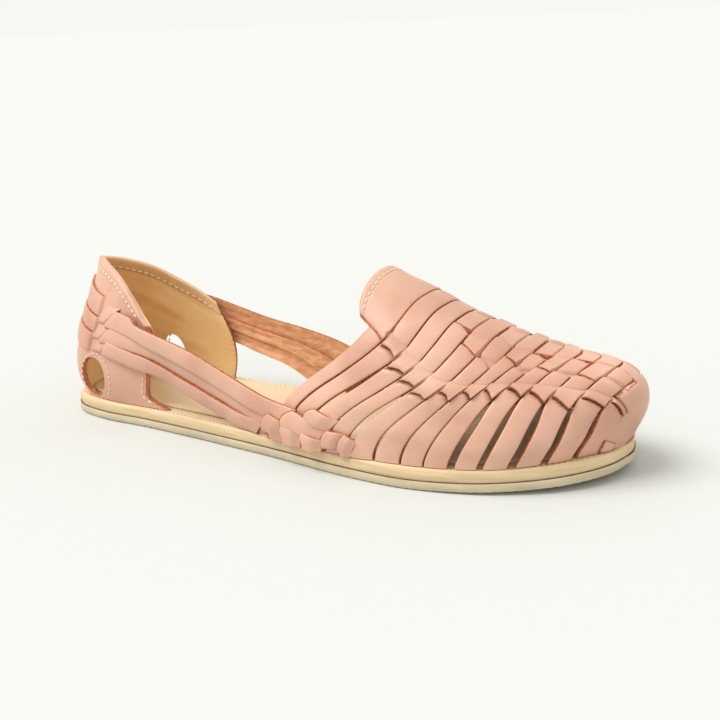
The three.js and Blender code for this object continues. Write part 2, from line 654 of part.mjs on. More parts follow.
// Point on the band of straps: along counts its rows from the slots, down goes from its top to its low edge
function strapPoint(side, along, down) {
  const sign = side === 'lateral' ? -1 : 1;
  const clear = STRAP_CLEARANCE + STRAP_THICKNESS;
  const onCounter = STRAP_ON_COUNTER.map((row) => ({
    top: counterLift(sign * row.topStation, row.topHeight, clear),
    low: counterLift(sign * row.lowStation, row.lowHeight, clear),
  }));
  const width = sign * BALL_WIDTH;
  const place = (x, y, z) => new THREE.Vector3(x * SOLE_LENGTH, y * width, FOOTBED + z * INSTEP_RISE);
  const run = STRAP_RUN[side].map((row) => ({
    top: place(row.topX, row.topY, row.topZ),
    low: place(row.lowX, row.lowY, row.lowZ),
  }));
  const rows = [...onCounter, ...run].map(({ top, low }) => ({
    topX: top.x, topY: top.y, topZ: top.z, lowX: low.x, lowY: low.y, lowZ: low.z,
  }));
  const value = (column) => sample(rows, column, along);
  const top = new THREE.Vector3(value('topX'), value('topY'), value('topZ'));
  const low = new THREE.Vector3(value('lowX'), value('lowY'), value('lowZ'));
  const fullness = Math.min(1, Math.max(0, 3 - along / 2));
  const swell = 4 * down * (1 - down) * fullness * STRAP_SWELL;
  return top.lerp(low, down).add(new THREE.Vector3(0, sign * swell, 0));
}

function strapInside(point) {
  return new THREE.Vector3(point.x, 0, point.z);
}

function strap({ from, to, lift }, side) {
  const surface = (a, b) => strapPoint(side, a, b);
  const alongs = steps(STRAP_FROM, STRAP_TO, 12);
  return shell(alongs.map((along) => [from, to].map((down) => {
    const rise = lift * Math.min(1, along / 2);
    return {
      outer: lifted(surface, along, down, rise, strapInside),
      inner: lifted(surface, along, down, rise - STRAP_THICKNESS, strapInside),
    };
  })));
}

// Wall of the braid by the sole
function braid(sign) {
  const heights = steps(sign * BRAID_TOP, sign, 2);
  return vampSheet(steps(BRAID_FROM, BRAID_TO, 8), () => heights, 0, PANEL_THICKNESS);
}

function braidTile({ from, to, low, high }, sign) {
  return vampSheet([from, to], () => [sign * low, sign * high], PIECE_GAP, PANEL_THICKNESS + WEAVE_RISE);
}

function upper() {
  const pieces = [panel(), underlay(), toePiece()];
  [-1, 1].forEach((sign) => {
    SIDE_STRIPS.forEach((row) => pieces.push(sideStrip(row, sign)));
    pieces.push(braid(sign));
    BRAID_TILES.forEach((row) => pieces.push(braidTile(row, sign)));
    STRAPS.forEach((row) => pieces.push(strap(row, sideOf(sign))));
  });
  TILES.forEach((row) => {
    pieces.push(tile(row, -1));
    if (row.from >= 0) pieces.push(tile(row, 1));
  });
  return join(pieces);
}

// Tab that stands over the instep
function tab() {
  const shares = steps(-1, 1, 12);
  const rear = (share) => TAB_REAR + TAB_CORNER * Math.abs(share) ** TAB_CORNER_POWER;
  const rows = steps(0, 1, 8).map((part) => shares.map((share) => {
    const strip = rear(share) + (TAB_FRONT - rear(share)) * part;
    const around = share * tuckAt(strip);
    return {
      outer: lifted(vampPoint, strip, around, TAB_THICKNESS, vampInside),
      inner: lifted(vampPoint, strip, around, 0, vampInside),
    };
  }));
  return shell(rows);
}

function material(color) {
  return new THREE.MeshStandardMaterial({ color, roughness: 0.6, metalness: 0 });
}

function node(name, geometry, color) {
  const mesh = new THREE.Mesh(geometry, material(color));
  mesh.name = name;
  return mesh;
}

const group = new THREE.Group();
group.add(node('outsole', outsole(), COLOURS.outsole));
group.add(node('midsole', midsole(), COLOURS.midsole));
group.add(node('insole', insole(), COLOURS.footbed));
group.add(node('upper', fromSolid(upper()), COLOURS.leather));
group.add(node('tongue', tab(), COLOURS.leather));
group.add(node('heel_counter', fromSolid(heelCounter()), COLOURS.lining));

// The origin is at the centre of the box's underside
const centre = new THREE.Box3().setFromObject(group).getCenter(new THREE.Vector3());
group.position.set(-centre.x, -centre.y, 0);

export default group;
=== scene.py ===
import math

import bmesh
import bpy
import mathutils
import numpy as np
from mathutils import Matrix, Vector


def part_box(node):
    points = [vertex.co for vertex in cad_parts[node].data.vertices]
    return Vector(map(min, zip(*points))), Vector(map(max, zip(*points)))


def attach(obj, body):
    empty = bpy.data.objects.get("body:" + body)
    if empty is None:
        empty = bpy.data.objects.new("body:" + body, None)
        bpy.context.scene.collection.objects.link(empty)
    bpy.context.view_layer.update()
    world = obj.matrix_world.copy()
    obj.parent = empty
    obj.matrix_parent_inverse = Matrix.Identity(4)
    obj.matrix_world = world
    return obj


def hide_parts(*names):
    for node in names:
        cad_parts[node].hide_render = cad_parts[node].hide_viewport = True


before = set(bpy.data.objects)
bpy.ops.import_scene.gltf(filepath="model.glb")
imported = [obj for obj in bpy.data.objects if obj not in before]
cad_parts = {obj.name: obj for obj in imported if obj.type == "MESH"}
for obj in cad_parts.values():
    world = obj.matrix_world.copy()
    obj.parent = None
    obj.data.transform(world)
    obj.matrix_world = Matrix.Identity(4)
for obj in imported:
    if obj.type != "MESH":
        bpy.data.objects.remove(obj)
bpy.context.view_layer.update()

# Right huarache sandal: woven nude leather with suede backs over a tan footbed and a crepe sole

MM = 0.001

# Sizes of the real sandal, in millimetres
SOLE_LENGTH = 255.0
BALL_WIDTH = 87.0
INSTEP_RISE = 63.0
HEEL_RISE = 59.3
OUTSOLE_THICKNESS = 4.0
MIDSOLE_THICKNESS = 4.1
INSOLE_THICKNESS = 1.0
INSOLE_INSET = 7.2
PIECE_GAP = 0.3
TOE_SPRING = 3.7
TOE_SPRING_START = 0.7
COUNTER_WALL = 2.6

MIDSOLE_FLOOR = OUTSOLE_THICKNESS + PIECE_GAP
MIDSOLE_TOP = MIDSOLE_FLOOR + MIDSOLE_THICKNESS
FOOTBED = MIDSOLE_TOP + PIECE_GAP
INSOLE_TOP = FOOTBED + INSOLE_THICKNESS

SIDES = {"lateral": -1, "medial": 1}

# Sole outline: share of the length, then lateral and medial half widths as shares of the ball width
OUTLINE = {
    "along": [0, .008, .024, .047, .078, .125, .196, .294, .392, .49, .588, .647, .706, .765, .824, .871,
              .91, .941, .969, .988, 1],
    "lateral": [0, .138, .213, .264, .293, .317, .324, .354, .391, .432, .484, .506, .516, .498, .456, .397,
                .331, .259, .167, .069, -.075],
    "medial": [0, .138, .213, .264, .302, .331, .335, .312, .31, .333, .382, .432, .471, .487, .483, .46,
               .425, .368, .299, .218, .075],
}

# Vamp form, a value for each cross strip from two before the first.
# X is a share of the sole's length, Y of the ball width and Z of the instep's rise.
VAMP = {
    "ridgeX": [.606, .635, .665, .696, .725, .753, .782, .814, .843, .873, .902, .931, .961, .986, 1.004,
               1.007, .989],
    "ridgeY": [0, 0, .006, .011, .017, .023, .029, .034, .04, .046, .052, .057, .066, .074, .078, .08, .08],
    "ridgeZ": [.99, .933, .876, .814, .757, .702, .651, .603, .563, .533, .511, .49, .462, .414, .322, .195,
               .025],
    "lateralX": [.412, .451, .488, .527, .565, .606, .647, .69, .729, .762, .804, .842, .878, .918, .949,
                 .973, .985],
    "lateralY": [.368, .397, .425, .454, .477, .483, .48, .475, .468, .457, .434, .398, .338, .247, .141,
                 .063, -.023],
    "medialX": [.404, .443, .484, .523, .565, .61, .653, .698, .735, .771, .81, .847, .884, .924, .955,
                .976, .987],
    "medialY": [.282, .29, .305, .329, .351, .374, .402, .428, .444, .448, .444, .431, .408, .362, .293,
                .207, .126],
    "square": [2.4, 2.5, 2.7, 2.75, 2.6, 2.55, 2.55, 2.55, 2.5, 2.4, 2.25, 2.1, 2.05, 2.2, 2.5, 2.6, 2.2],
    "sweep": [6, 5.6, 5.4, 5.8, 5.6, 5, 4.6, 3.8, 2.7, 2, 1.6, 1.45, 1.45, 1.6, 2, 2, 2],
    "lean": [.056, .058, .06, .064, .066, .062, .056, .054, .054, .054, .054, .054, .052, .054, .05, .03,
             0],
    "tuck": [.42, .44, .47, .52, .56, .59, .61, .59, .53, .47, .43, .42, .42, .42, .45, .5, .5],
}
FIRST_STRIP = -1
SWEEP_HOLD = 6
LAST_CORE_X = 0.9
LAST_CORE_Y = 0.03
LAST_BASE = 0.99

# Heel counter from the back centre to the front edge, in the same shares, but with Z of the heel's rise
COUNTER = {
    "baseX": [.017, .027, .052, .088, .137, .192, .247],
    "baseY": [0, .126, .214, .26, .285, .294, .299],
    "topX": [.039, .054, .082, .12, .157, .186, .212],
    "topY": [0, .041, .097, .156, .216, .266, .299],
    "topZ": [1, .993, .963, .901, .798, .703, .604],
    "bulge": [.092, .088, .074, .053, .039, .023, .011],
    "forward": [0, 0, 0, 0, .004, .012, .019],
}
COUNTER_END = 6
COUNTER_FOOT = 0.012
COUNTER_CORE_X = 0.2
SWELL_LOW = 0.58
SWELL_POWER = 1.3
BACK_STATIONS = 3

# The outer side ends further back, but for its foot and for the corner hidden behind the top strap
SHORT_END = 5.2
TIP_HEIGHT = 0.1
TIP_POWER = 1.6
CORNER_REACH = 0.72
CORNER_HEIGHTS = (0.3, 0.58)

# Step for a surface's normal, in its own parameters
NORMAL_REACH = 0.01

# Place of the sole's heel end in the frame
LOW_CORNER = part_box("outsole")[0]
HEEL_END_Y = LOW_CORNER[1] + max(OUTLINE["lateral"]) * BALL_WIDTH * MM
ORIGIN = np.array([LOW_CORNER[0], HEEL_END_Y, 0.0])


def smooth(values, row):
    """Smooth value of a column of numbers at row numbers that may lie between rows."""
    values = np.asarray(values, float)
    last = len(values) - 1
    row = np.clip(np.asarray(row, float), 0, last)
    low = np.minimum(last - 1, np.floor(row)).astype(int)
    t = row - low
    padded = np.concatenate([[2 * values[0] - values[1]], values, [2 * values[-1] - values[-2]]])
    before, start, end, after = (padded[low + k] for k in range(4))
    slope_in = (end - before) / 2
    slope_out = (after - start) / 2
    ends = (2 * t**3 - 3 * t**2 + 1) * start + (3 * t**2 - 2 * t**3) * end
    return ends + (t**3 - 2 * t**2 + t) * slope_in + (t**3 - t**2) * slope_out


def column(table, name, row):
    return smooth(table[name], row)


def smoothstep(low, high, value):
    t = np.clip((value - low) / (high - low), 0, 1)
    return t * t * (3 - 2 * t)


def stack(x, y, z):
    return np.stack(np.broadcast_arrays(x, y, z), axis=-1).astype(float)


def run_along(path):
    """Distance along a polyline at each of its points."""
    return np.concatenate([[0], np.cumsum(np.linalg.norm(np.diff(path, axis=0), axis=1))])


def spring(x):
    """Rise of the sole towards the toe."""
    share = (x / SOLE_LENGTH - TOE_SPRING_START) / (1 - TOE_SPRING_START)
    return TOE_SPRING * np.maximum(0, share) ** 2


def tuck(strip):
    """How far round the panel's edge lies at a cross strip."""
    return column(VAMP, "tuck", strip - FIRST_STRIP)


def vamp_point(strip, around):
    """Point of the last under a cross strip; around runs from -1 at the lateral base to 1."""
    row = strip - FIRST_STRIP
    lateral = around < 0
    ridge_x = column(VAMP, "ridgeX", row) * SOLE_LENGTH
    ridge_y = column(VAMP, "ridgeY", row) * BALL_WIDTH
    ridge_z = column(VAMP, "ridgeZ", row) * INSTEP_RISE
    base_x = np.where(lateral, column(VAMP, "lateralX", row), column(VAMP, "medialX", row)) * SOLE_LENGTH
    base_y = np.where(lateral, -column(VAMP, "lateralY", row), column(VAMP, "medialY", row)) * BALL_WIDTH
    angle = np.minimum(1, np.abs(around)) * math.pi / 2
    power = 2 / column(VAMP, "square", row)
    lean = column(VAMP, "lean", row) * SOLE_LENGTH * np.sin(angle) ** SWEEP_HOLD * np.cos(angle)
    x = ridge_x + (base_x - ridge_x) * np.sin(angle) ** column(VAMP, "sweep", row) + lean
    y = ridge_y + (base_y - ridge_y) * np.sin(angle) ** power
    z = FOOTBED + spring(x) + ridge_z * np.maximum(0, np.cos(angle)) ** power
    return stack(x, y, z)


def vamp_inside(point):
    return stack(np.minimum(point[..., 0], SOLE_LENGTH * LAST_CORE_X), BALL_WIDTH * LAST_CORE_Y, FOOTBED)


def counter_point(station, height):
    """Point of the counter's outside; stations below zero lie on the lateral side."""
    sign = np.where(station < 0, -1.0, 1.0)
    row = np.abs(station)
    up = np.maximum(0, height / column(COUNTER, "topZ", row))
    capped = np.minimum(1, up)
    swell = np.nan_to_num(np.sin(math.pi * capped**SWELL_LOW) ** SWELL_POWER)
    ahead = column(COUNTER, "forward", row) * SOLE_LENGTH * np.sin(math.pi * capped)
    turn = np.minimum(1, row / BACK_STATIONS) * math.pi / 2
    bulge = column(COUNTER, "bulge", row) * BALL_WIDTH * swell
    base_x, base_y = column(COUNTER, "baseX", row), column(COUNTER, "baseY", row)
    x = (base_x + (column(COUNTER, "topX", row) - base_x) * up) * SOLE_LENGTH + ahead - bulge * np.cos(turn)
    y = (base_y + (column(COUNTER, "topY", row) - base_y) * up) * BALL_WIDTH + bulge * np.sin(turn)
    return stack(x, sign * y, FOOTBED + height * HEEL_RISE)


def counter_station(station, height):
    """Draws the stations of the outer side back to its shorter front edge."""
    tip = np.maximum(0, 1 - height / TIP_HEIGHT) ** TIP_POWER
    corner = CORNER_REACH * smoothstep(*CORNER_HEIGHTS, height)
    end = SHORT_END + (COUNTER_END - SHORT_END) * tip + corner
    return np.where(station < 0, station * end / COUNTER_END, station)


def counter_inside(point):
    return stack(SOLE_LENGTH * COUNTER_CORE_X, 0.0, point[..., 2])


def lifted(surface, a, b, lift, inside):
    """Points on a surface moved out along its normal."""
    a, b = np.broadcast_arrays(np.asarray(a, float), np.asarray(b, float))
    point = surface(a, b)
    along_a = surface(a + NORMAL_REACH, b) - surface(a - NORMAL_REACH, b)
    along_b = surface(a, b + NORMAL_REACH) - surface(a, b - NORMAL_REACH)
    normal = np.cross(along_a, along_b)
    normal /= np.maximum(1e-9, np.linalg.norm(normal, axis=-1, keepdims=True))
    facing = np.sum(normal * (point - inside(point)), axis=-1, keepdims=True)
    normal = np.where(facing < 0, -normal, normal)
    return point + normal * np.asarray(lift)[..., None]


def vamp_lift(strip, around, lift):
    """Points off the last, with those at its base set on the footbed."""
    safe = np.sign(around) * np.minimum(LAST_BASE, np.abs(around))
    point = lifted(vamp_point, strip, safe, lift, vamp_inside)
    at_base = np.abs(around) > LAST_BASE
    point[..., 2] = np.where(at_base, FOOTBED + spring(point[..., 0]), point[..., 2])
    return point


def counter_lift(station, height, lift):
    point = lifted(counter_point, station, np.maximum(height, COUNTER_FOOT), lift, counter_inside)
    point[..., 2] = FOOTBED + height * HEEL_RISE
    return point


# Meshes

SMOOTH_ANGLE = 50
WELD = 1e-6


def add_to_scene(name, data):
    piece = bpy.data.objects.new(name, data)
    bpy.context.scene.collection.objects.link(piece)
    return piece


def soften(mesh, angle=SMOOTH_ANGLE):
    mesh.polygons.foreach_set("use_smooth", [True] * len(mesh.polygons))
    mesh.set_sharp_from_angle(angle=math.radians(angle))


def outward(mesh):
    """Welds shared corners and turns the faces outwards."""
    work = bmesh.new()
    work.from_mesh(mesh)
    bmesh.ops.remove_doubles(work, verts=work.verts, dist=WELD)
    bmesh.ops.recalc_face_normals(work, faces=work.faces)
    work.to_mesh(mesh)
    work.free()


# Length, gap and thickness of a stitch, and its sections: place along it and share of its thickness
STITCH = (2.1, 1.0, 0.42)
STITCH_SECTIONS = ((0, 0.35), (0.25, 1), (0.75, 1), (1, 0.35))
STITCH_RISE = 0.2
HEXAGON = [(math.cos(turn * math.pi / 3), math.sin(turn * math.pi / 3)) for turn in range(6)]


class Build:
    """Gathers closed sheets into one mesh with a face, edge and back material."""

    def __init__(self):
        self.vertices = []
        self.faces = []
        self.indices = []

    def face(self, corners, index):
        self.faces.append(corners)
        self.indices.append(index)

    def sheet(self, outer, inner, edge_columns=1, edge_rows=0, back_index=None, rim=1):
        """Closed sheet between two matched grids; its outer columns take the cut edge's material."""
        rows, columns = outer.shape[:2]
        start = len(self.vertices)
        self.vertices.extend(outer.reshape(-1, 3).tolist())
        self.vertices.extend(inner.reshape(-1, 3).tolist())

        def top(i, j):
            return start + i * columns + j

        def low(i, j):
            return top(i, j) + rows * columns

        for i in range(rows - 1):
            for j in range(columns - 1):
                at_side = j < edge_columns or j >= columns - 1 - edge_columns
                at_end = i < edge_rows or i >= rows - 1 - edge_rows
                front = int(at_side or at_end)
                back = back_index(j) if back_index else 2
                self.face([top(i, j), top(i + 1, j), top(i + 1, j + 1), top(i, j + 1)], front)
                self.face([low(i, j), low(i, j + 1), low(i + 1, j + 1), low(i + 1, j)], back)
            self.face([top(i, 0), low(i, 0), low(i + 1, 0), top(i + 1, 0)], rim)
            j = columns - 1
            self.face([top(i, j), top(i + 1, j), low(i + 1, j), low(i, j)], rim)
        for j in range(columns - 1):
            self.face([top(0, j), top(0, j + 1), low(0, j + 1), low(0, j)], 1)
            i = rows - 1
            self.face([top(i, j), low(i, j), low(i, j + 1), top(i, j + 1)], 1)

    def skin(self, rings, marks):
        """Faces between rings of points, with a material index for each level."""
        count = len(rings[0])
        for ring, mark in zip(rings, marks):
            first = len(self.vertices)
            self.vertices.extend(ring)
            for k in range(count):
                a, b = first + k, first + (k + 1) % count
                self.face([a, b, b + count, a + count], mark)
        self.vertices.extend(rings[-1])

    def tube(self, rings, index=0):
        """Closed tube through rings of points."""
        first = len(self.vertices)
        self.skin(rings, [index] * (len(rings) - 1))
        end, count = len(self.vertices), len(rings[0])
        self.face(list(range(first, first + count))[::-1], index)
        self.face(list(range(end - count, end)), index)

    def stitch(self, start, end, up, width):
        """One stitch of thread: a low rounded bar from start to end."""
        along = end - start
        side = np.cross(along, up)
        side /= max(1e-9, np.linalg.norm(side))
        rings = []
        for share, fat in STITCH_SECTIONS:
            middle = start + along * share
            offsets = [side * across + up * (rise + STITCH_RISE) for across, rise in HEXAGON]
            rings.append([(middle + offset * width * fat).tolist() for offset in offsets])
        self.tube(rings)

    def stitches(self, path, ups, size=STITCH):
        """Row of stitches along a polyline."""
        length, gap, width = size
        run = run_along(path)

        def at(values, place):
            return np.array([np.interp(place, run, values[:, k]) for k in range(3)])

        place = gap
        while place + length < run[-1]:
            up = at(ups, place + length / 2)
            self.stitch(at(path, place), at(path, place + length), up / np.linalg.norm(up), width)
            place += length + gap

    def object(self, name, materials, smooth_angle=SMOOTH_ANGLE):
        mesh = bpy.data.meshes.new(name)
        mesh.from_pydata((np.array(self.vertices) * MM + ORIGIN).tolist(), [], self.faces)
        for material in materials:
            mesh.materials.append(material)
        mesh.polygons.foreach_set("material_index", self.indices)
        mesh.validate()
        outward(mesh)
        soften(mesh, smooth_angle)
        return add_to_scene(name, mesh)


# Cross-section of a cut strip: place across it, and how far its grain side lies under the crown
ACROSS = np.array([-1, -0.97, -0.9, -0.72, -0.4, 0, 0.4, 0.72, 0.9, 0.97, 1])
EDGE_DROP = np.array([0.55, 0.16, 0.03, 0, 0, 0, 0, 0, 0.03, 0.16, 0.55])
SHARES = (ACROSS + 1) / 2


def crown(amount):
    return amount * (1 - ACROSS**2)


def ride(piece, node=None):
    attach(piece, "root")
    if node:
        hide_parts(node)


# Materials

def shader(name, roughness, sheen=0.0, coat=0.0):
    material = bpy.data.materials.new(name)
    material.use_nodes = True
    tree = material.node_tree
    bsdf = tree.nodes["Principled BSDF"]
    bsdf.inputs["Roughness"].default_value = roughness
    bsdf.inputs["Sheen Weight"].default_value = sheen
    bsdf.inputs["Coat Weight"].default_value = coat
    bsdf.inputs["Coat Roughness"].default_value = 0.35
    return material, tree, bsdf


def add_node(tree, kind, **inputs):
    node = tree.nodes.new("ShaderNode" + kind)
    for name, value in inputs.items():
        node.inputs[name].default_value = value
    return node


def noise(tree, scale, detail, stretch=1):
    """Noise on the object's own coordinates, with its height squeezed by the stretch."""
    mapping = add_node(tree, "Mapping", Scale=(1, 1, stretch))
    texture = add_node(tree, "TexNoise", Scale=scale, Detail=detail)
    tree.links.new(add_node(tree, "TexCoord").outputs["Object"], mapping.inputs["Vector"])
    tree.links.new(mapping.outputs["Vector"], texture.inputs["Vector"])
    return texture.outputs["Fac"]


def tint(tree, bsdf, pattern, low, dark, light):
    """Base colour that clouds between a dark and a light tone."""
    node = add_node(tree, "ValToRGB")
    for element, position, colour in zip(node.color_ramp.elements, (low, 1 - low), (dark, light)):
        element.position = position
        element.color = (*colour, 1)
    tree.links.new(pattern, node.inputs["Fac"])
    tree.links.new(node.outputs["Color"], bsdf.inputs["Base Color"])


def relief(tree, bsdf, layers):
    """Chained bumps, each a pattern with its depth in metres and its strength."""
    normal = None
    for pattern, depth, strength in layers:
        node = add_node(tree, "Bump", Distance=depth, Strength=strength)
        tree.links.new(pattern, node.inputs["Height"])
        if normal:
            tree.links.new(normal, node.inputs["Normal"])
        normal = node.outputs["Normal"]
    tree.links.new(normal, bsdf.inputs["Normal"])


def srgb(red, green, blue):
    """Linear colour from screen values out of 255."""
    def linear(value):
        value /= 255
        return value / 12.92 if value <= 0.04045 else ((value + 0.055) / 1.055) ** 2.4
    return linear(red), linear(green), linear(blue)


def leather(name, dark, light, roughness=0.46):
    """Smooth grain side with soft clouds, pores and fine creases."""
    material, tree, bsdf = shader(name, roughness, coat=0.16)
    tint(tree, bsdf, noise(tree, 30, 6), 0.3, dark, light)
    pores = noise(tree, 1500, 3)
    creases = noise(tree, 160, 4)
    relief(tree, bsdf, [(pores, 0.00012, 0.5), (creases, 0.0004, 0.35)])
    return material


def edge_leather(name, dark, light):
    """Cut edge, seam or thread: fine fibres."""
    material, tree, bsdf = shader(name, 0.75)
    fibres = noise(tree, 700, 5)
    tint(tree, bsdf, fibres, 0.35, dark, light)
    relief(tree, bsdf, [(fibres, 0.0002, 0.6)])
    return material


def suede(name, dark, light):
    """Flesh side with a rough nap."""
    material, tree, bsdf = shader(name, 0.9, sheen=0.3)
    nap = noise(tree, 210, 8, 2.4)
    fuzz = noise(tree, 900, 6)
    tint(tree, bsdf, nap, 0.3, dark, light)
    relief(tree, bsdf, [(fuzz, 0.0003, 0.8), (nap, 0.0008, 0.6)])
    return material


def slab(name, dark, light, streak, roughness=0.6):
    """Leather or crepe edge with fine lengthwise streaks."""
    material, tree, bsdf = shader(name, roughness)
    layers = noise(tree, 60, 5, streak)
    fine = noise(tree, 900, 4)
    tint(tree, bsdf, layers, 0.3, dark, light)
    relief(tree, bsdf, [(fine, 0.00012, 0.5), (layers, 0.0003, 0.5)])
    return material


GRAIN = leather("nude_leather", srgb(190, 138, 113), srgb(220, 174, 151))
EDGE = edge_leather("cut_edge", srgb(150, 78, 42), srgb(196, 120, 72))
FLESH = suede("flesh_side", srgb(202, 141, 102), srgb(238, 182, 136))
# Darker copy of the flesh side for the undersides of the vamp's strips: painted shade for the shaded inside
# of the weave
PAINTED_SHADE_VAMP_INSIDE = suede("vamp_inside", srgb(118, 68, 44), srgb(150, 96, 64))
LINING = leather("ochre_lining", srgb(230, 187, 129), srgb(249, 215, 161), 0.55)
LINING_BAND = leather("lining_band", srgb(202, 156, 106), srgb(224, 184, 131), 0.6)
FOOTBED_SKIN = leather("tan_footbed", srgb(216, 188, 148), srgb(228, 204, 166), 0.6)
MIDSOLE_EDGE = slab("midsole_edge", srgb(208, 180, 138), srgb(224, 200, 160), 14)
CREPE = slab("crepe_outsole", srgb(192, 177, 147), srgb(212, 198, 168), 5, 0.85)
# Dark brown for the thin line between the sole's layers, and painted shade in the footbed's pinholes
DARK_SEAM_AND_HOLE_SHADE = edge_leather("dark_seam_and_hole_shade", srgb(86, 54, 34), srgb(118, 80, 52))
THREAD = edge_leather("waxed_thread", srgb(214, 196, 164), srgb(232, 216, 188))


def ride_leather(build, name, node, back=FLESH):
    ride(build.object(name, [GRAIN, EDGE, back]), node)


# Camera, in degrees, millimetres from the heel end and pixels of the photograph's frame

CAMERA_AZIMUTH = 30.2
CAMERA_ELEVATION = 17.7
CAMERA_ROLL = -2.5
CAMERA_TARGET = (127.5, 0, 20)
CAMERA_DISTANCE = 480.0
PIXELS_PER_MM = 2.385
FRAME_PIXELS = 720.0
PRINCIPAL_X = 328.0
PRINCIPAL_Y = 385.5
SENSOR_WIDTH = 36


def make_camera():
    azimuth, elevation, roll = np.radians([CAMERA_AZIMUTH, CAMERA_ELEVATION, CAMERA_ROLL])
    ahead = np.array([
        -math.sin(azimuth) * math.cos(elevation),
        math.cos(azimuth) * math.cos(elevation),
        -math.sin(elevation),
    ])
    right = np.array([math.cos(azimuth), math.sin(azimuth), 0])
    up = np.cross(right, ahead)
    data = bpy.data.cameras.new("camera")
    data.sensor_width = SENSOR_WIDTH
    data.lens = PIXELS_PER_MM * CAMERA_DISTANCE / FRAME_PIXELS * SENSOR_WIDTH
    data.shift_x = (FRAME_PIXELS / 2 - PRINCIPAL_X) / FRAME_PIXELS
    data.shift_y = (PRINCIPAL_Y - FRAME_PIXELS / 2) / FRAME_PIXELS
    data.clip_start = 0.01
    camera = add_to_scene("camera", data)
    place = (np.array(CAMERA_TARGET) - ahead * CAMERA_DISTANCE) * MM + ORIGIN
    rolled_right = right * math.cos(roll) + up * math.sin(roll)
    rolled_up = up * math.cos(roll) - right * math.sin(roll)
    matrix = np.eye(4)
    matrix[:3] = np.stack([rolled_right, rolled_up, -ahead, place], axis=1)
    camera.matrix_world = mathutils.Matrix(matrix.tolist())
    bpy.context.scene.camera = camera


# Studio, with its floor in metres

FLOOR_REACH = 60.0
FLOOR_DARK = (0.599, 0.607, 0.59)
FLOOR_LIGHT = (0.603, 0.611, 0.594)
SKY_COLOUR = (0.93, 0.94, 0.9, 1)
KEY_COLOUR = (1, 0.99, 0.97)
KEY_ENERGY = 2.35
KEY_SPREAD = 38
KEY_DIRECTION = (0.5, 0.32, -1.0)


def make_floor():
    mesh = bpy.data.meshes.new("floor")
    corners = [(x * FLOOR_REACH, y * FLOOR_REACH, 0) for x, y in ((-1, -1), (1, -1), (1, 1), (-1, 1))]
    mesh.from_pydata(corners, [], [(0, 1, 2, 3)])
    material, tree, bsdf = shader("paper", 1.0)
    tint(tree, bsdf, noise(tree, 3, 2), 0.4, FLOOR_DARK, FLOOR_LIGHT)
    bsdf.inputs["Specular IOR Level"].default_value = 0.0
    mesh.materials.append(material)
    add_to_scene("floor", mesh)


def make_light():
    world = bpy.data.worlds.new("studio")
    world.use_nodes = True
    world.node_tree.nodes["Background"].inputs["Color"].default_value = SKY_COLOUR
    bpy.context.scene.world = world
    bpy.context.scene.view_settings.view_transform = "Standard"
    data = bpy.data.lights.new("key", "SUN")
    data.energy = KEY_ENERGY
    data.angle = math.radians(KEY_SPREAD)
    data.color = KEY_COLOUR
    turn = mathutils.Vector(KEY_DIRECTION).to_track_quat("-Z", "Y")
    add_to_scene("key", data).rotation_euler = turn.to_euler()


# Sole

CAP_SHARES = (0.12, 0.35, 0.7, 1.0)
CAP_CENTRE = 0.02
SERRATION = 0.2
SERRATION_TOP = 1.2
SERRATION_STEP = 2.1
SOLE_SMOOTH_ANGLE = 40


def outline(rows, side):
    x = column(OUTLINE, "along", rows) * SOLE_LENGTH
    return np.stack([x, SIDES[side] * column(OUTLINE, side, rows) * BALL_WIDTH], axis=-1)


def outline_loop(points):
    """Closed smooth outline, heel to toe along the lateral side and back along the medial one."""
    rows = np.linspace(0, len(OUTLINE["along"]) - 1, points)
    loop = np.concatenate([outline(rows, "lateral"), outline(rows[::-1], "medial")[1:-1]])
    closed = np.vstack([loop, loop[:1]])
    run = run_along(closed)
    wanted = np.linspace(0, run[-1], points, endpoint=False)
    even = np.stack([np.interp(wanted, run, closed[:, k]) for k in range(2)], axis=-1)
    for _ in range(2):
        even = (np.roll(even, 1, 0) + 2 * even + np.roll(even, -1, 0)) / 4
    return even


def inset_loop(loop, inset):
    along = np.roll(loop, -1, 0) - np.roll(loop, 1, 0)
    along /= np.linalg.norm(along, axis=1, keepdims=True)
    return loop + np.stack([-along[:, 1], along[:, 0]], axis=-1) * inset


def cap_rings(ring):
    """Rings that shrink from a loop onto the sole's centre line."""
    centre = stack(ring[:, 0], BALL_WIDTH * CAP_CENTRE, ring[:, 2])
    return [ring + (centre - ring) * share for share in CAP_SHARES]


def sole_slab(name, levels, materials, wobble=0.0, points=240):
    """Slab through levels of height, inset and material index."""
    loop = outline_loop(points)
    rings = []
    for height, inset, _ in levels:
        ring = inset_loop(loop, inset)
        wave = 0
        if height < SERRATION_TOP:
            wave = wobble * (0.5 + 0.5 * np.sin(np.arange(points) * SERRATION_STEP))
        rings.append(stack(ring[:, 0], ring[:, 1], height + spring(ring[:, 0]) + wave))
    rings = cap_rings(rings[0])[::-1] + rings + cap_rings(rings[-1])
    body = [level[2] for level in levels]
    marks = [body[0]] * len(CAP_SHARES) + body[1:] + [body[-1]] * len(CAP_SHARES)
    build = Build()
    build.skin([ring.tolist() for ring in rings], marks)
    return build.object(name, materials, SOLE_SMOOTH_ANGLE)


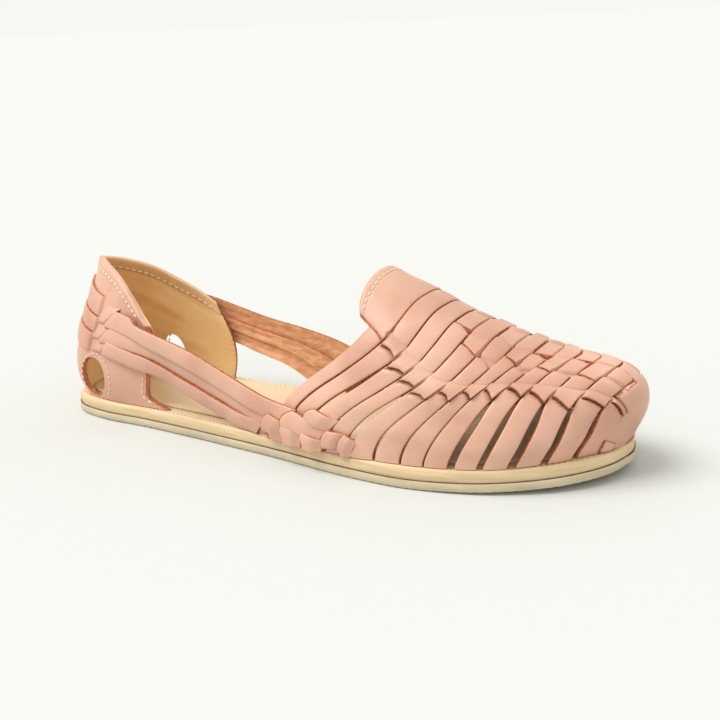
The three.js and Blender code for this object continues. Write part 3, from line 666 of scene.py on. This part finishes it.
def make_soles():
    outsole = sole_slab("outsole_crepe", [
        (0, 0.9, 0), (0.25, 0.35, 0), (0.7, 0.0, 0), (2.2, -0.05, 0), (OUTSOLE_THICKNESS - 0.3, 0.0, 0),
        (OUTSOLE_THICKNESS, 0.25, 1)], [CREPE, DARK_SEAM_AND_HOLE_SHADE], SERRATION, 480)
    ride(outsole, "outsole")
    midsole = sole_slab("midsole_leather", [
        (MIDSOLE_FLOOR - 0.3, 0.5, 0), (MIDSOLE_FLOOR, 0.45, 0), (MIDSOLE_FLOOR + 0.4, 0.3, 0),
        (MIDSOLE_TOP - 1.0, 0.35, 0), (MIDSOLE_TOP - 0.4, 0.55, 0), (MIDSOLE_TOP - 0.05, 1.1, 0),
        (MIDSOLE_TOP, 1.6, 1)], [MIDSOLE_EDGE, FOOTBED_SKIN])
    ride(midsole, "midsole")
    insole = sole_slab("insole_sock", [
        (FOOTBED, INSOLE_INSET + 0.1, 0), (INSOLE_TOP - 0.3, INSOLE_INSET, 0),
        (INSOLE_TOP, INSOLE_INSET + 0.5, 0)], [FOOTBED_SKIN])
    ride(insole, "insole")


PINHOLE_PITCH = 2.3
PINHOLE_INSET = 2.6
PINHOLE_SIZE = 0.32
PINHOLE_HEIGHTS = (-0.4, 0.03)


def make_pinholes():
    """Row of tiny dark discs along the footbed's margin; their dark colour is painted shade for the inside
    of the pinholes.
    """
    build = Build()
    loop = inset_loop(outline_loop(480), PINHOLE_INSET)
    closed = np.vstack([loop, loop[:1]])
    run = run_along(closed)
    for place in np.arange(0, run[-1], PINHOLE_PITCH):
        x, y = (np.interp(place, run, closed[:, k]) for k in range(2))
        top = MIDSOLE_TOP + float(spring(x))
        rings = []
        for height in PINHOLE_HEIGHTS:
            rings.append([[x + PINHOLE_SIZE * u, y + PINHOLE_SIZE * v, top + height] for u, v in HEXAGON])
        build.tube(rings)
    ride(build.object("footbed_pricks_painted_shade", [DARK_SEAM_AND_HOLE_SHADE]))


# Vamp

# Cross strips are numbered from the throat, and places along the vamp are strip numbers. Lifts off the
# last: of the side strips, of a strip under and over a lengthwise one, and of the panel.
STRIP_COUNT = 13
HALF_STRIP = 0.475
STRIP_SKIN = 1.7
SIDE_LIFT = 1.5
UNDER = -0.5
OVER = 2.0
PANEL_TOP = 1.4
PANEL_START = 1.4
PANEL_END = 13.6
MARGIN_END = 13.55
CENTRE_SHARE = 0.17
MIDDLE_SHARE = 0.33
MARGIN_SHARE = 0.8

# Slits that the side strips dive through: around at their rear and front ends
SLITS = {
    1: (0.443, 0.447), 2: (0.51, 0.527), 3: (0.59, 0.565), 4: (0.61, 0.6), 5: (0.64, 0.645),
    6: (0.58, 0.61), 7: (0.527, 0.555), 8: (0.46, 0.525), 9: (0.42, 0.475), 10: (0.423, 0.503),
    11: (0.443, 0.55), 12: (0.433, 0.487), 13: (0.4, 0.485),
}
SLIT_ARCH = 0.014
SLIT_STEPS = (-1, -0.45, 0.2, 1)
SLIT_CORNER = 0.03

# Rear and front edges of the cross strips half way up their sides
SIDE_STRIPS = {
    1: (0.82, 1.52), 2: (1.6, 2.38), 3: (2.58, 3.42), 4: (3.5, 4.3), 5: (4.58, 5.46), 6: (5.54, 6.47),
    7: (6.54, 7.47), 8: (7.53, 8.44), 9: (8.68, 9.42), 10: (9.64, 10.46), 11: (10.76, 11.48),
    12: (11.68, 12.42), 13: (12.6, 13.6),
}

# Stretches of each cross strip that lie on top of the panel, as shares of the way to its edge:
# the upper end dives under a lengthwise strip, the lower end rises out smoothly
OVER_CHART = {
    2: [(-0.8, 0.8)], 3: [(-0.8, 0.8)],
    4: [(0.18, 0.8)], 5: [(0.42, 0.8)],
    6: [(0.5, 0.8), (0.1, 0.34)], 7: [(0.39, 0.8)],
    8: [(0.55, 0.8), (0.22, 0.44)], 9: [(0.52, 0.8)],
    10: [(0.56, 0.8), (0.2, 0.44)], 11: [(0.58, 0.8)],
    12: [(0.5, 0.8), (0.14, 0.36)],
}
CENTRE_OVER = {5: 0.2, 7: 0.16, 9: 0.2, 11: 0.2}

# Upper ends of the tiles by the outer lengthwise strip, from the second cross strip on, and their fall
TILE_TOPS = np.array([0.3, 0.3, 0.3, 0.42, 0.5, 0.39, 0.55, 0.52, 0.56, 0.58, 0.52, 0.5])
TILE_FALL = {"across": [-1, -0.45, 0, 0.5, 1], "fall": [-0.033, -0.027, -0.012, 0.015, 0.045]}

# Way down at which the first strips go under the braid
BRAID_TOP = {"strip": [0.5, 1.5, 2.3, 3.4, 4.3, 4.7], "around": [0.875, 0.9, 0.895, 0.92, 0.935, 1.05]}
BRAIDED_STRIPS = 4
BRAID_ROOM = 1.3

# Soft troughs and swellings of the strips: strip, around, their reach both ways, and the height
VAMP_CREASES = [
    (2.2, -0.72, 0.9, 0.05, -0.5), (3.6, -0.8, 1.2, 0.06, 0.5), (6.2, -0.86, 1.6, 0.05, 0.6),
    (7.6, -0.72, 1.4, 0.05, -0.45), (9.2, -0.88, 1.4, 0.05, 0.55), (11.4, -0.82, 1.2, 0.07, 0.5),
    (5.0, -0.66, 1.0, 0.04, 0.4), (3.0, 0.1, 0.7, 0.2, -0.4), (8.0, 0.12, 1.2, 0.15, 0.35),
    (4.4, 0.74, 1.4, 0.06, 0.5), (7.4, 0.8, 1.5, 0.06, -0.5), (10.4, 0.82, 1.4, 0.06, 0.5),
]


def slit_around(strip):
    """How far round the slits lie along the panel; each one arches up in its middle."""
    places, values = [], []
    for number, (rear, front) in SLITS.items():
        for across in SLIT_STEPS:
            places.append(number + HALF_STRIP * across)
            values.append(rear + (front - rear) * (across + 1) / 2 - SLIT_ARCH * (1 - across**2))
    return np.interp(strip, places, values)


def slit_part(strip):
    """Place across the nearest strip, from -1 at its rear edge to 1 at its front edge."""
    return (strip - np.clip(np.round(strip), 1, STRIP_COUNT)) / HALF_STRIP


def slit_open(strip):
    """One along a slit, and zero in the bridge between two slits."""
    part = slit_part(strip)
    return smoothstep(-0.97, -0.7, part) * (1 - smoothstep(0.98, 1.05, part))


def tile_fall(strip):
    """Fall of the tiles' upper ends, as a share of the panel's edge."""
    return np.interp(slit_part(strip), TILE_FALL["across"], TILE_FALL["fall"])


def merge(low, share):
    """Lets a tile sink into the lengthwise strip at its lower end, so that no edge shows there."""
    slow = 0.35 * smoothstep(low - 0.16, low + 0.06, share)
    return 1 - slow - 0.65 * smoothstep(low + 0.05, low + 0.12, share)


def strip_line(strip, around):
    """Lines along a cross strip: its full width on top, its own edges low down."""
    rear, front = SIDE_STRIPS[strip]
    edge = tuck(strip)
    down = smoothstep(0, 1, 2 * (np.abs(around) - edge) / (1 - edge))
    back = strip - HALF_STRIP + (rear - strip + HALF_STRIP) * down
    ahead = strip + HALF_STRIP + (front - strip - HALF_STRIP) * down
    return (back + ahead) / 2 + (ahead - back) / 2 * ACROSS


def cross_lift(strip, line, around):
    """Height of a cross strip over the last at a place on it."""
    share = np.abs(around) / tuck(strip)
    corner = SLIT_CORNER * smoothstep(0.75, 1, -ACROSS)
    out_of_slit = smoothstep(-0.004, 0.018, np.abs(around) - slit_around(line) + corner)
    lift = UNDER + (SIDE_LIFT - UNDER) * out_of_slit
    slanted = share - tile_fall(line)
    for top, low in OVER_CHART.get(strip, []):
        shown = merge(low, share)
        if top > 0:
            shown = shown * smoothstep(top - 0.01, top + 0.04, slanted)
        lift = np.maximum(lift, UNDER + (OVER - UNDER) * shown)
    if strip in CENTRE_OVER:
        reach = CENTRE_OVER[strip]
        shown = 1 - smoothstep(reach - 0.03, reach + 0.03, share)
        lift = np.maximum(lift, UNDER + (OVER - UNDER) * shown)
    if strip <= BRAIDED_STRIPS:
        braid_top = np.interp(line, BRAID_TOP["strip"], BRAID_TOP["around"])
        lift = lift - BRAID_ROOM * smoothstep(braid_top - 0.02, braid_top + 0.02, np.abs(around))
    return lift


def weave_lift(strip, share):
    """Height of a lengthwise strip: it goes under each cross strip that shows at its share."""
    hiding = [number for number, reach in CENTRE_OVER.items() if share < reach]
    for number, spans in OVER_CHART.items():
        if any(top <= share <= low for top, low in spans):
            hiding.append(number)
    under = 0 * strip
    for number in hiding:
        under = np.maximum(under, 1 - smoothstep(0.42, 0.6, np.abs(strip - number)))
    return PANEL_TOP + 0.3 - 2.2 * under


def vamp_creases(line, around):
    total = 0 * line
    for strip, place, reach, width, height in VAMP_CREASES:
        total = total + height * np.exp(-((line - strip) / reach) ** 2 - ((around - place) / width) ** 2)
    return total


def vamp_strip(build, strip, around, lift, rise, skin=STRIP_SKIN, edge_rows=0):
    """Cut strip of leather on the vamp, crowned by its rise."""
    outer = vamp_lift(strip, around, lift + crown(rise) - EDGE_DROP)
    build.sheet(outer, vamp_lift(strip, around, lift - skin), 1, edge_rows)


def cross_strip(build, strip, first=-1.0, last=1.0, rows=130):
    around = np.linspace(first, last, rows)[:, None]
    line = strip_line(strip, around)
    vamp_strip(build, line, around, cross_lift(strip, line, around) + vamp_creases(line, around), 0.22)


def margin(build, sign):
    """Outer lengthwise strip: it rises over the ends of the side strips and sinks in between."""
    strip = np.linspace(PANEL_START, MARGIN_END, 400)[:, None]
    inside = MARGIN_SHARE * tuck(strip)
    around = sign * (inside + (slit_around(strip) - inside) * SHARES)
    far = smoothstep(0.3, 0.85, SHARES) * (1 - smoothstep(13.35, 13.5, strip))
    opened = slit_open(strip)
    lift = PANEL_TOP + 0.1 + 1.3 * far * opened - 0.9 * far * (1 - opened)
    lift = lift - 1.0 * (1 - smoothstep(0, 0.35, SHARES)) - 1.9 * smoothstep(13.3, 13.6, strip)
    vamp_strip(build, strip, around, lift, 0.15)


def middle_strip(build, sign):
    """Lengthwise strip beside the centre one; its outer edge follows the upper ends of the tiles."""
    strip = np.linspace(PANEL_START, PANEL_END, 330)[:, None]
    number = np.clip(np.round(strip), 2, STRIP_COUNT).astype(int)
    top = TILE_TOPS[number - 2] + 0.03
    share = CENTRE_SHARE + (top - CENTRE_SHARE) * SHARES
    around = sign * (share + tile_fall(strip) * smoothstep(0.6, 0.9, SHARES)) * tuck(strip)
    far = smoothstep(0.7, 0.93, SHARES)
    opened = slit_open(strip)
    lift = weave_lift(strip, MIDDLE_SHARE) + 0.9 * far * opened - 1.2 * far * (1 - opened)
    vamp_strip(build, strip, around, lift - 1.9 * smoothstep(12.55, 12.85, strip), 0.15)


def centre_strip(build):
    strip = np.linspace(PANEL_START, PANEL_END, 200)[:, None]
    vamp_strip(build, strip, CENTRE_SHARE * ACROSS * tuck(strip), weave_lift(strip, 0.0), 0.15)


def underlay(build):
    """Soft layer under the panel, which closes the slits."""
    strip = np.linspace(1.0, PANEL_END, 70)[:, None]
    reach = 1.05 + 0.17 * smoothstep(5, 7, strip)
    around = np.linspace(-1, 1, 60) * tuck(strip) * reach
    build.sheet(vamp_lift(strip, around, -1.3), vamp_lift(strip, around, -2.1))


def make_vamp():
    build = Build()
    for strip in range(2, STRIP_COUNT + 1):
        cross_strip(build, strip)
    for sign, ends in ((-1, (-1, -0.4)), (1, (0.4, 1))):
        cross_strip(build, 1, *ends, 70)
        margin(build, sign)
        middle_strip(build, sign)
    centre_strip(build)
    underlay(build)
    # The strips' undersides take the darker flesh colour, which is painted shade for the inside of the vamp
    ride_leather(build, "woven_vamp", "upper", PAINTED_SHADE_VAMP_INSIDE)


# Tiles of the braid by the sole, and the stub of the last strip that comes out beside the toe piece:
# strip and around at the rear top, front top, front low and rear low corners
BRAID_TILES = [
    ((1.52, 0.902), (3.42, 0.925), (3.3, 0.976), (1.27, 0.966)),
    ((0.42, 0.934), (1.75, 0.96), (1.5, 0.994), (0.28, 0.988)),
    ((1.35, 0.962), (2.55, 0.966), (2.4, 0.994), (1.55, 0.994)),
    ((2.42, 0.96), (3.5, 0.966), (3.4, 0.994), (2.6, 0.994)),
    ((2.27, 0.865), (3.55, 0.868), (3.45, 0.935), (2.18, 0.914)),
    ((3.38, 0.92), (4.25, 0.915), (4.18, 0.98), (3.45, 0.99)),
    ((4.12, 0.915), (4.75, 0.942), (4.65, 0.994), (4.1, 0.99)),
]
BRAID_LIFT = 3.1
BRAID_BOW = 0.1
TOE_STUB = ((13.28, -0.845), (14.0, -0.875), (13.95, -0.985), (13.4, -0.99))
TOE_STUB_LIFT = 2.5
PATCH_SKIN = 1.5


def between(corners, along):
    """Strip and around of the places between four corners."""
    rear_top, front_top, front_low, rear_low = (np.array(corner) for corner in corners)
    top = rear_top + (front_top - rear_top) * along[..., None]
    low = rear_low + (front_low - rear_low) * along[..., None]
    place = top + (low - top) * SHARES[:, None]
    return place[..., 0], place[..., 1]


def make_braid(side):
    """Tiles whose rear edge bows out and whose front end dives under the next one."""
    build = Build()
    run = np.linspace(0, 1, 24)[:, None]
    along = run - BRAID_BOW * np.sin(math.pi * SHARES) * (1 - run)
    lift = BRAID_LIFT - 1.7 * smoothstep(0.45, 1.0, run) - 0.7 * (1 - smoothstep(0, 0.1, run))
    for corners in BRAID_TILES:
        strip, around = between(corners, along)
        vamp_strip(build, strip, SIDES[side] * around, lift, 0.3, PATCH_SKIN, 1)
    ride_leather(build, "braid_" + side, "upper")


def make_toe_stub():
    build = Build()
    along = np.linspace(0, 1, 12)[:, None]
    strip, around = between(TOE_STUB, along)
    rounding = 0.3 * np.abs(2 * along - 1) ** 8
    outer = vamp_lift(strip, around, TOE_STUB_LIFT + crown(0.2) - EDGE_DROP - rounding)
    build.sheet(outer, vamp_lift(strip, around, TOE_STUB_LIFT - PATCH_SKIN), 1, 1)
    ride_leather(build, "toe_stub", "upper", EDGE)


TOE_START = 13.42
TOE_END = 14.98
TOE_BACK = 0.92
TOE_LIFT = 1.8


def make_toe():
    """Toe piece; in the middle it starts further back, sunk under the weave."""
    build = Build()
    part = np.linspace(0, 1, 44)[:, None]
    around = np.linspace(-1, 1, 90)
    middle = 1 - smoothstep(0.36, 0.42, np.abs(around))
    start = TOE_START - TOE_BACK * (1 - smoothstep(0.33, 0.39, np.abs(around)))
    strip = start + (TOE_END - start) * part
    rim = 0.5 * (1 - np.minimum(1, part / 0.04)) * (1 - middle)
    sunk = 1.6 * middle * (1 - smoothstep(start, start + 0.25, strip))
    lift = TOE_LIFT - rim - sunk
    outer = vamp_lift(strip, around, lift)
    inner = vamp_lift(strip, around, lift - STRIP_SKIN)
    for grid in (outer, inner):
        grid[-1, :, 2] = FOOTBED + spring(grid[-1, :, 0])
    build.sheet(outer, inner, 0, 1)
    ride_leather(build, "toe_wrap", "upper")


# Tab

TAB_LIFT = 2.2
TAB_UNDERSIDE = 0.2
TAB_REAR = -0.95
TAB_CORNER = 0.7
TAB_CORNER_POWER = 9
TAB_FRONT = 1.52
TAB_SEAM = 0.16
TAB_GROOVE = 0.17
TAB_SEAM_REACH = 0.93


def tab_lift(share, part, lift):
    """Points off the tab, from its rounded rear edge to its front one."""
    rear = TAB_REAR + TAB_CORNER * np.abs(share) ** TAB_CORNER_POWER
    strip = rear + (TAB_FRONT - rear) * part
    return vamp_lift(strip, share * tuck(strip), lift)


def make_tab():
    build = Build()
    share = np.linspace(-1, 1, 61)[None, :]
    part = np.concatenate([[0, 0.012, 0.04, 0.09], np.linspace(0.14, 0.97, 30), [0.985, 1]])[:, None]
    rim = np.concatenate([[0.6, 0.25, 0.06, 0], np.zeros(30), [0.1, 0.5]])[:, None]
    side = 0.6 * smoothstep(0.95, 1, np.abs(share))
    groove = 0.3 * np.exp(-((part - TAB_GROOVE) / 0.035) ** 2)
    outer = tab_lift(share, part, TAB_LIFT - np.maximum(rim, side) - groove)
    build.sheet(outer, tab_lift(share, part, TAB_UNDERSIDE), 1, 1)
    ride_leather(build, "instep_tab", "tongue")


def make_tab_stitches():
    seam = Build()
    share = np.linspace(-TAB_SEAM_REACH, TAB_SEAM_REACH, 120)
    path = tab_lift(share, TAB_SEAM, TAB_LIFT - 0.2)
    seam.stitches(path, path - tab_lift(share, TAB_SEAM, TAB_LIFT - 1.2))
    ride(seam.object("tab_stitches", [THREAD]))


# Counter

LINING_ROWS = 34
BAND_WIDTH = 6.0
BAND_THICKNESS = 0.45
BAND_STEPS = np.array([0.08, 0.3, 0.55, 0.8, 0.93, 1])

# Soft creases of the lining: station and share of the height at both ends, width and depth
LINING_CREASES = [
    (0.4, 0.78, 4.2, 0.62, 0.05, -0.7), (0.8, 0.66, 4.4, 0.5, 0.04, 0.55),
    (-3.4, 0.72, -0.6, 0.8, 0.05, -0.6), (1.5, 0.42, 5.2, 0.3, 0.05, -0.5),
    (3.2, 0.88, 5.6, 0.74, 0.03, 0.4),
]

# Heel holes: centre and length as shares of the sole's length, then their shared height, sill and turn
HEEL_HOLES = {"lateral": (0.082, 0.066), "medial": (0.1216, 0.043)}
HOLE_HEIGHT = 18.0
HOLE_SILL = 0.6
HOLE_TURN = 24.0
HOLE_DRILL_Y = 0.25
HOLE_DRILL_REACH = 12

# Seams: distance under the top edge, along the front edge, and outside the heel holes
TOP_SEAM = 3.0
LINING_SEAM = 4.65
FRONT_SEAM = 0.24
FRONT_SEAM_TOP = 0.255
HOLE_SEAM = (2.0, 1.8)
HOLE_SEAM_SHIFT = 1.2
FINE_STITCH = (1.9, 1.1, 0.3)
HOLE_STITCH = (1.7, 1.0, 0.32)


def lining_creases(stations, shares):
    total = 0 * shares
    for start, low, end, high, width, depth in LINING_CREASES:
        part = np.clip((stations - start) / (end - start), 0, 1)
        near = smoothstep(0, 0.25, part) * (1 - smoothstep(0.75, 1, part))
        middle = low + (high - low) * part
        total = total + depth * near * np.exp(-((shares - middle) / width) ** 2)
    return total


def counter_shares(stations):
    """Heights up the counter, as shares of its top, with a line at the lining band's lower edge."""
    edge = 1 - BAND_WIDTH / (column(COUNTER, "topZ", np.abs(stations)) * HEEL_RISE)
    return np.concatenate([np.linspace(0, 1, LINING_ROWS) * edge, edge + (1 - edge) * BAND_STEPS], axis=1)


def make_counter():
    build = Build()
    whole = np.linspace(-COUNTER_END, COUNTER_END, 121)[:, None]
    short = counter_station(whole, COUNTER["topZ"][-1])
    shares = counter_shares(short)
    heights = shares * column(COUNTER, "topZ", np.abs(short))
    stations = counter_station(whole, heights)
    columns = shares.shape[1]
    ends = 0.6 * smoothstep(COUNTER_END - 0.08, COUNTER_END, np.abs(whole))
    edge = np.maximum(0.7 * smoothstep(0.985, 1, shares), ends)
    wrinkles = 0.22 * np.sin(shares * 95) * np.exp(-((np.abs(whole) - COUNTER_END) / 0.45) ** 2)
    slack = 0.35 * np.sin(stations * 2.3 + 4 * shares) * np.sin(math.pi * shares)
    band = BAND_THICKNESS * (np.arange(columns) >= LINING_ROWS)
    creases = wrinkles + slack + lining_creases(stations, shares)
    outer = counter_lift(stations, heights, -edge)
    inner = counter_lift(stations, heights, edge - COUNTER_WALL - band + creases)

    def lining_index(step):
        return 3 if LINING_ROWS - 1 <= step < columns - 2 else 2

    build.sheet(outer, inner, 0, 1, lining_index, 0)
    shell = build.object("counter_shell", [GRAIN, EDGE, LINING, LINING_BAND])
    for side in SIDES:
        cut_heel_hole(shell, side)
    ride(shell, "heel_counter")


def cut_heel_hole(shell, side):
    share, length = HEEL_HOLES[side]
    tilt = SIDES[side] * math.radians(HOLE_TURN)
    centre_z = FOOTBED + HOLE_HEIGHT / 2 + HOLE_SILL
    centre = np.array([share * SOLE_LENGTH, SIDES[side] * BALL_WIDTH * HOLE_DRILL_Y, centre_z])
    turn = np.linspace(0, 2 * math.pi, 48, endpoint=False)
    x, z = length * SOLE_LENGTH / 2 * np.cos(turn), HOLE_HEIGHT / 2 * np.sin(turn)
    rings = []
    for depth in (-HOLE_DRILL_REACH, HOLE_DRILL_REACH):
        across = x * math.sin(tilt) + depth * math.cos(tilt)
        rings.append((stack(x * math.cos(tilt) - depth * math.sin(tilt), across, z) + centre).tolist())
    drill = Build()
    drill.tube(rings, 1)
    cutter = drill.object("hole_cutter", [GRAIN, EDGE, LINING])
    modifier = shell.modifiers.new("hole", "BOOLEAN")
    modifier.object = cutter
    modifier.operation = "DIFFERENCE"
    modifier.solver = "EXACT"
    bpy.context.view_layer.objects.active = shell
    bpy.ops.object.modifier_apply(modifier=modifier.name)
    bpy.data.objects.remove(cutter, do_unlink=True)
    soften(shell.data)


def add_counter_seam(seam, station, height, lift, size=STITCH):
    """Stitches along places on the counter, outside it or on its lining."""
    path = counter_lift(station, height, lift)
    seam.stitches(path, path - counter_lift(station, height, lift + (-1 if lift > 0 else 1)), size)


def add_hole_stitches(seam, side):
    """Stitches round a heel hole, a little outside its rim."""
    share, length = HEEL_HOLES[side]
    turn = np.linspace(-0.25 * math.pi, 1.25 * math.pi, 90)
    tilt = math.radians(HOLE_TURN)
    sideways = (length * SOLE_LENGTH / 2 + HOLE_SEAM[0]) * np.cos(turn) * math.cos(tilt)
    height = HOLE_HEIGHT / 2 + (HOLE_HEIGHT / 2 + HOLE_SEAM[1]) * np.sin(turn) + HOLE_SILL
    stations = SIDES[side] * np.linspace(0.3, COUNTER_END, 400)
    path = []
    for x, z in zip(share * SOLE_LENGTH + sideways + HOLE_SEAM_SHIFT, height):
        line = counter_lift(stations, max(COUNTER_FOOT, z / HEEL_RISE), 0.1)
        path.append(line[np.argmin(np.abs(line[:, 0] - x))])
    path = np.array(path)
    seam.stitches(path, path - counter_inside(path), HOLE_STITCH)


def make_counter_stitches():
    seam = Build()
    stations = np.linspace(-SHORT_END + 0.2, COUNTER_END - 0.35, 240)
    top = column(COUNTER, "topZ", np.abs(stations))
    add_counter_seam(seam, stations, top - TOP_SEAM / HEEL_RISE, 0.1)
    add_counter_seam(seam, stations, top - LINING_SEAM / HEEL_RISE, -COUNTER_WALL - 0.55, FINE_STITCH)
    for side, sign in SIDES.items():
        height = np.linspace(0.03, FRONT_SEAM_TOP, 80)
        add_counter_seam(seam, counter_station(sign * (COUNTER_END - FRONT_SEAM), height), height, 0.1)
        add_hole_stitches(seam, side)
    ride(seam.object("counter_stitches", [THREAD]))


# Strips round the back: low and high edge at the back centre, and the station they reach
HEEL_STRIPS = [(0.71, 0.855, 2.5), (0.595, 0.705, 2.5), (0.45, 0.588, 2.4)]
HEEL_STRIP_FALL = 0.04
HEEL_STRIP_LIFT = 1.35
LINING_FACE = -1.3


def make_heel_strips():
    build = Build()
    for low, high, reach in HEEL_STRIPS:
        station = np.linspace(-reach - 0.2, reach + 0.2, 110)[:, None]
        height = (low + high) / 2 + (high - low) / 2 * ACROSS - HEEL_STRIP_FALL * np.abs(station)
        dive = smoothstep(reach - 0.06, reach + 0.1, np.abs(station))
        lift = HEEL_STRIP_LIFT - 1.9 * dive - 0.5 * (1 - ACROSS) / 2
        outer = counter_lift(station, height, lift + crown(0.3) - EDGE_DROP * 0.9)
        inner = counter_lift(station, height, np.maximum(lift - PATCH_SKIN, LINING_FACE))
        build.sheet(outer, inner, 1)
    ride_leather(build, "heel_strips", "heel_counter")


# Straps

# Top and low edge of the band of straps: station and height on the counter, then its run to the braid as
# shares of the sole's length, the ball width and the instep's rise
BAND_ON_COUNTER = [((4.9, .67), (4.6, .3)), ((6, .615), (6, .262))]
BAND_RUN = {
    "lateral": [
        ((.314, .355, .468), (.294, .342, .16)), ((.392, .372, .348), (.361, .36, .071)),
        ((.463, .404, .227), (.42, .382, .016)), ((.514, .433, .148), (.478, .414, .01)),
    ],
    "medial": [
        ((.314, .318, .476), (.294, .308, .211)), ((.392, .313, .424), (.361, .301, .14)),
        ((.463, .318, .37), (.42, .303, .045)), ((.502, .335, .3), (.471, .313, .01)),
    ],
}

# The three straps: edges as shares of the band's height, lift off it, and for the top and the low edge the
# ends in the slots, as station and height, and in the braid, as strip and around
STRAPS = [
    {"edges": (0.0, 0.37), "lift": 1.3, "slot": ((3.5, 0.685), (2.95, 0.57)),
     "braid": ((1.62, 0.9), (1.3, 0.966))},
    {"edges": (0.35, 0.655), "lift": -0.35, "slot": ((3.38, 0.565), (2.85, 0.455)),
     "braid": ((0.52, 0.932), (0.34, 0.985))},
    {"edges": (0.66, 1.0), "lift": 0.95, "slot": ((3.3, 0.465), (3.08, 0.365)),
     "braid": ((0.3, 0.962), (-0.1, 0.994))},
]
STRAP_CLEAR = 2.7
STRAP_END_LIFT = 1.9
STRAP_ROWS = 6
BAND_SWELL = 4.8


def band_rows(side):
    """Top and low point of the band in each row, from the counter to the braid."""
    sign = SIDES[side]
    rows = []
    for places in BAND_ON_COUNTER:
        rows.append([counter_lift(sign * station, height, STRAP_CLEAR) for station, height in places])
    size = np.array([SOLE_LENGTH, sign * BALL_WIDTH, INSTEP_RISE])
    for places in BAND_RUN[side]:
        rows.append([np.array(shares) * size + (0, 0, FOOTBED) for shares in places])
    return rows


def strap_edge(side, strap, which):
    """Rows of points along one edge of a strap, from its slot to the braid."""
    sign = SIDES[side]
    share = strap["edges"][which]
    station, height = strap["slot"][which]
    strip, around = strap["braid"][which]
    points = [counter_lift(sign * station, height, STRAP_CLEAR)]
    points += [top + (low - top) * share for top, low in band_rows(side)]
    points[1] = points[1] + ((points[0] + points[2]) / 2 - points[1]) * 0.3
    end = vamp_lift(strip, sign * around, STRAP_END_LIFT)
    points[-2] = points[-2] + (end - points[-1]) * 0.35
    points[-1] = end
    return np.array(points)


def strap_surface(side, strap):
    edges = [strap_edge(side, strap, which) for which in (0, 1)]
    first, last = strap["edges"]

    def surface(along, down):
        top, low = (stack(*(smooth(edge[:, k], along) for k in range(3))) for edge in edges)
        band = first + (last - first) * down
        point = top + (low - top) * down[..., None]
        point[..., 1] += SIDES[side] * BAND_SWELL * band * (1 - band) * np.clip(3 - along / 2, 0, 1)
        return point
    return surface


def strap_inside(point):
    return stack(point[..., 0], 0.0, point[..., 2])


def make_straps(side):
    build = Build()
    for strap in STRAPS:
        surface = strap_surface(side, strap)
        along = np.linspace(0, STRAP_ROWS, 110)[:, None]
        down = SHARES + 0 * along
        dive = 1 - smoothstep(0, 0.1, along)
        raised = strap["lift"] * np.minimum(1, along / 2) * (1 - smoothstep(4.6, 5.8, along))
        lift = raised - 0.3 - 1.6 * dive
        folds = 0.4 * np.sin(9 * down + 1.1 * along) * np.sin(math.pi * down)
        outer = lifted(surface, along, down, lift + crown(0.3) - EDGE_DROP, strap_inside)
        inner = lifted(surface, along, down, lift - STRIP_SKIN + folds, strap_inside)
        build.sheet(outer, inner, 1)
        add_slot_lip(build, strap, SIDES[side])
    ride_leather(build, "straps_" + side, "upper")


# Folded edge of the counter's leather behind a slot: place along the fold and its rise
SLOT_LIP = {"part": [0, 0.2, 0.45, 0.7, 0.88, 0.97, 1.0], "rise": [0.02, 0.4, 1.3, 2.3, 2.75, 2.5, 1.9]}
SLOT_LIP_BACK = 0.75
SLOT_LIP_LENGTH = 0.86
SLOT_LIP_WIDTH = 1.12


def add_slot_lip(build, strap, sign):
    """Lip that the strap comes out from under."""
    (top_station, top_height), (low_station, low_height) = strap["slot"]
    down = (ACROSS * SLOT_LIP_WIDTH + 1) / 2
    part, rise = (np.array(SLOT_LIP[name])[:, None] for name in ("part", "rise"))
    station = top_station + (low_station - top_station) * down - SLOT_LIP_BACK + SLOT_LIP_LENGTH * part
    height = top_height + (low_height - top_height) * down
    outer = counter_lift(sign * station, height + 0 * part, rise * (1 - 0.97 * np.abs(ACROSS) ** 4))
    build.sheet(outer, counter_lift(sign * station, height + 0 * part, -0.6), 0, 0)


make_camera()
make_floor()
make_light()
make_soles()
make_pinholes()
make_vamp()
for braid_side in SIDES:
    make_braid(braid_side)
make_toe()
make_toe_stub()
make_tab()
make_tab_stitches()
make_counter()
make_counter_stitches()
make_heel_strips()
for strap_side in SIDES:
    make_straps(strap_side)
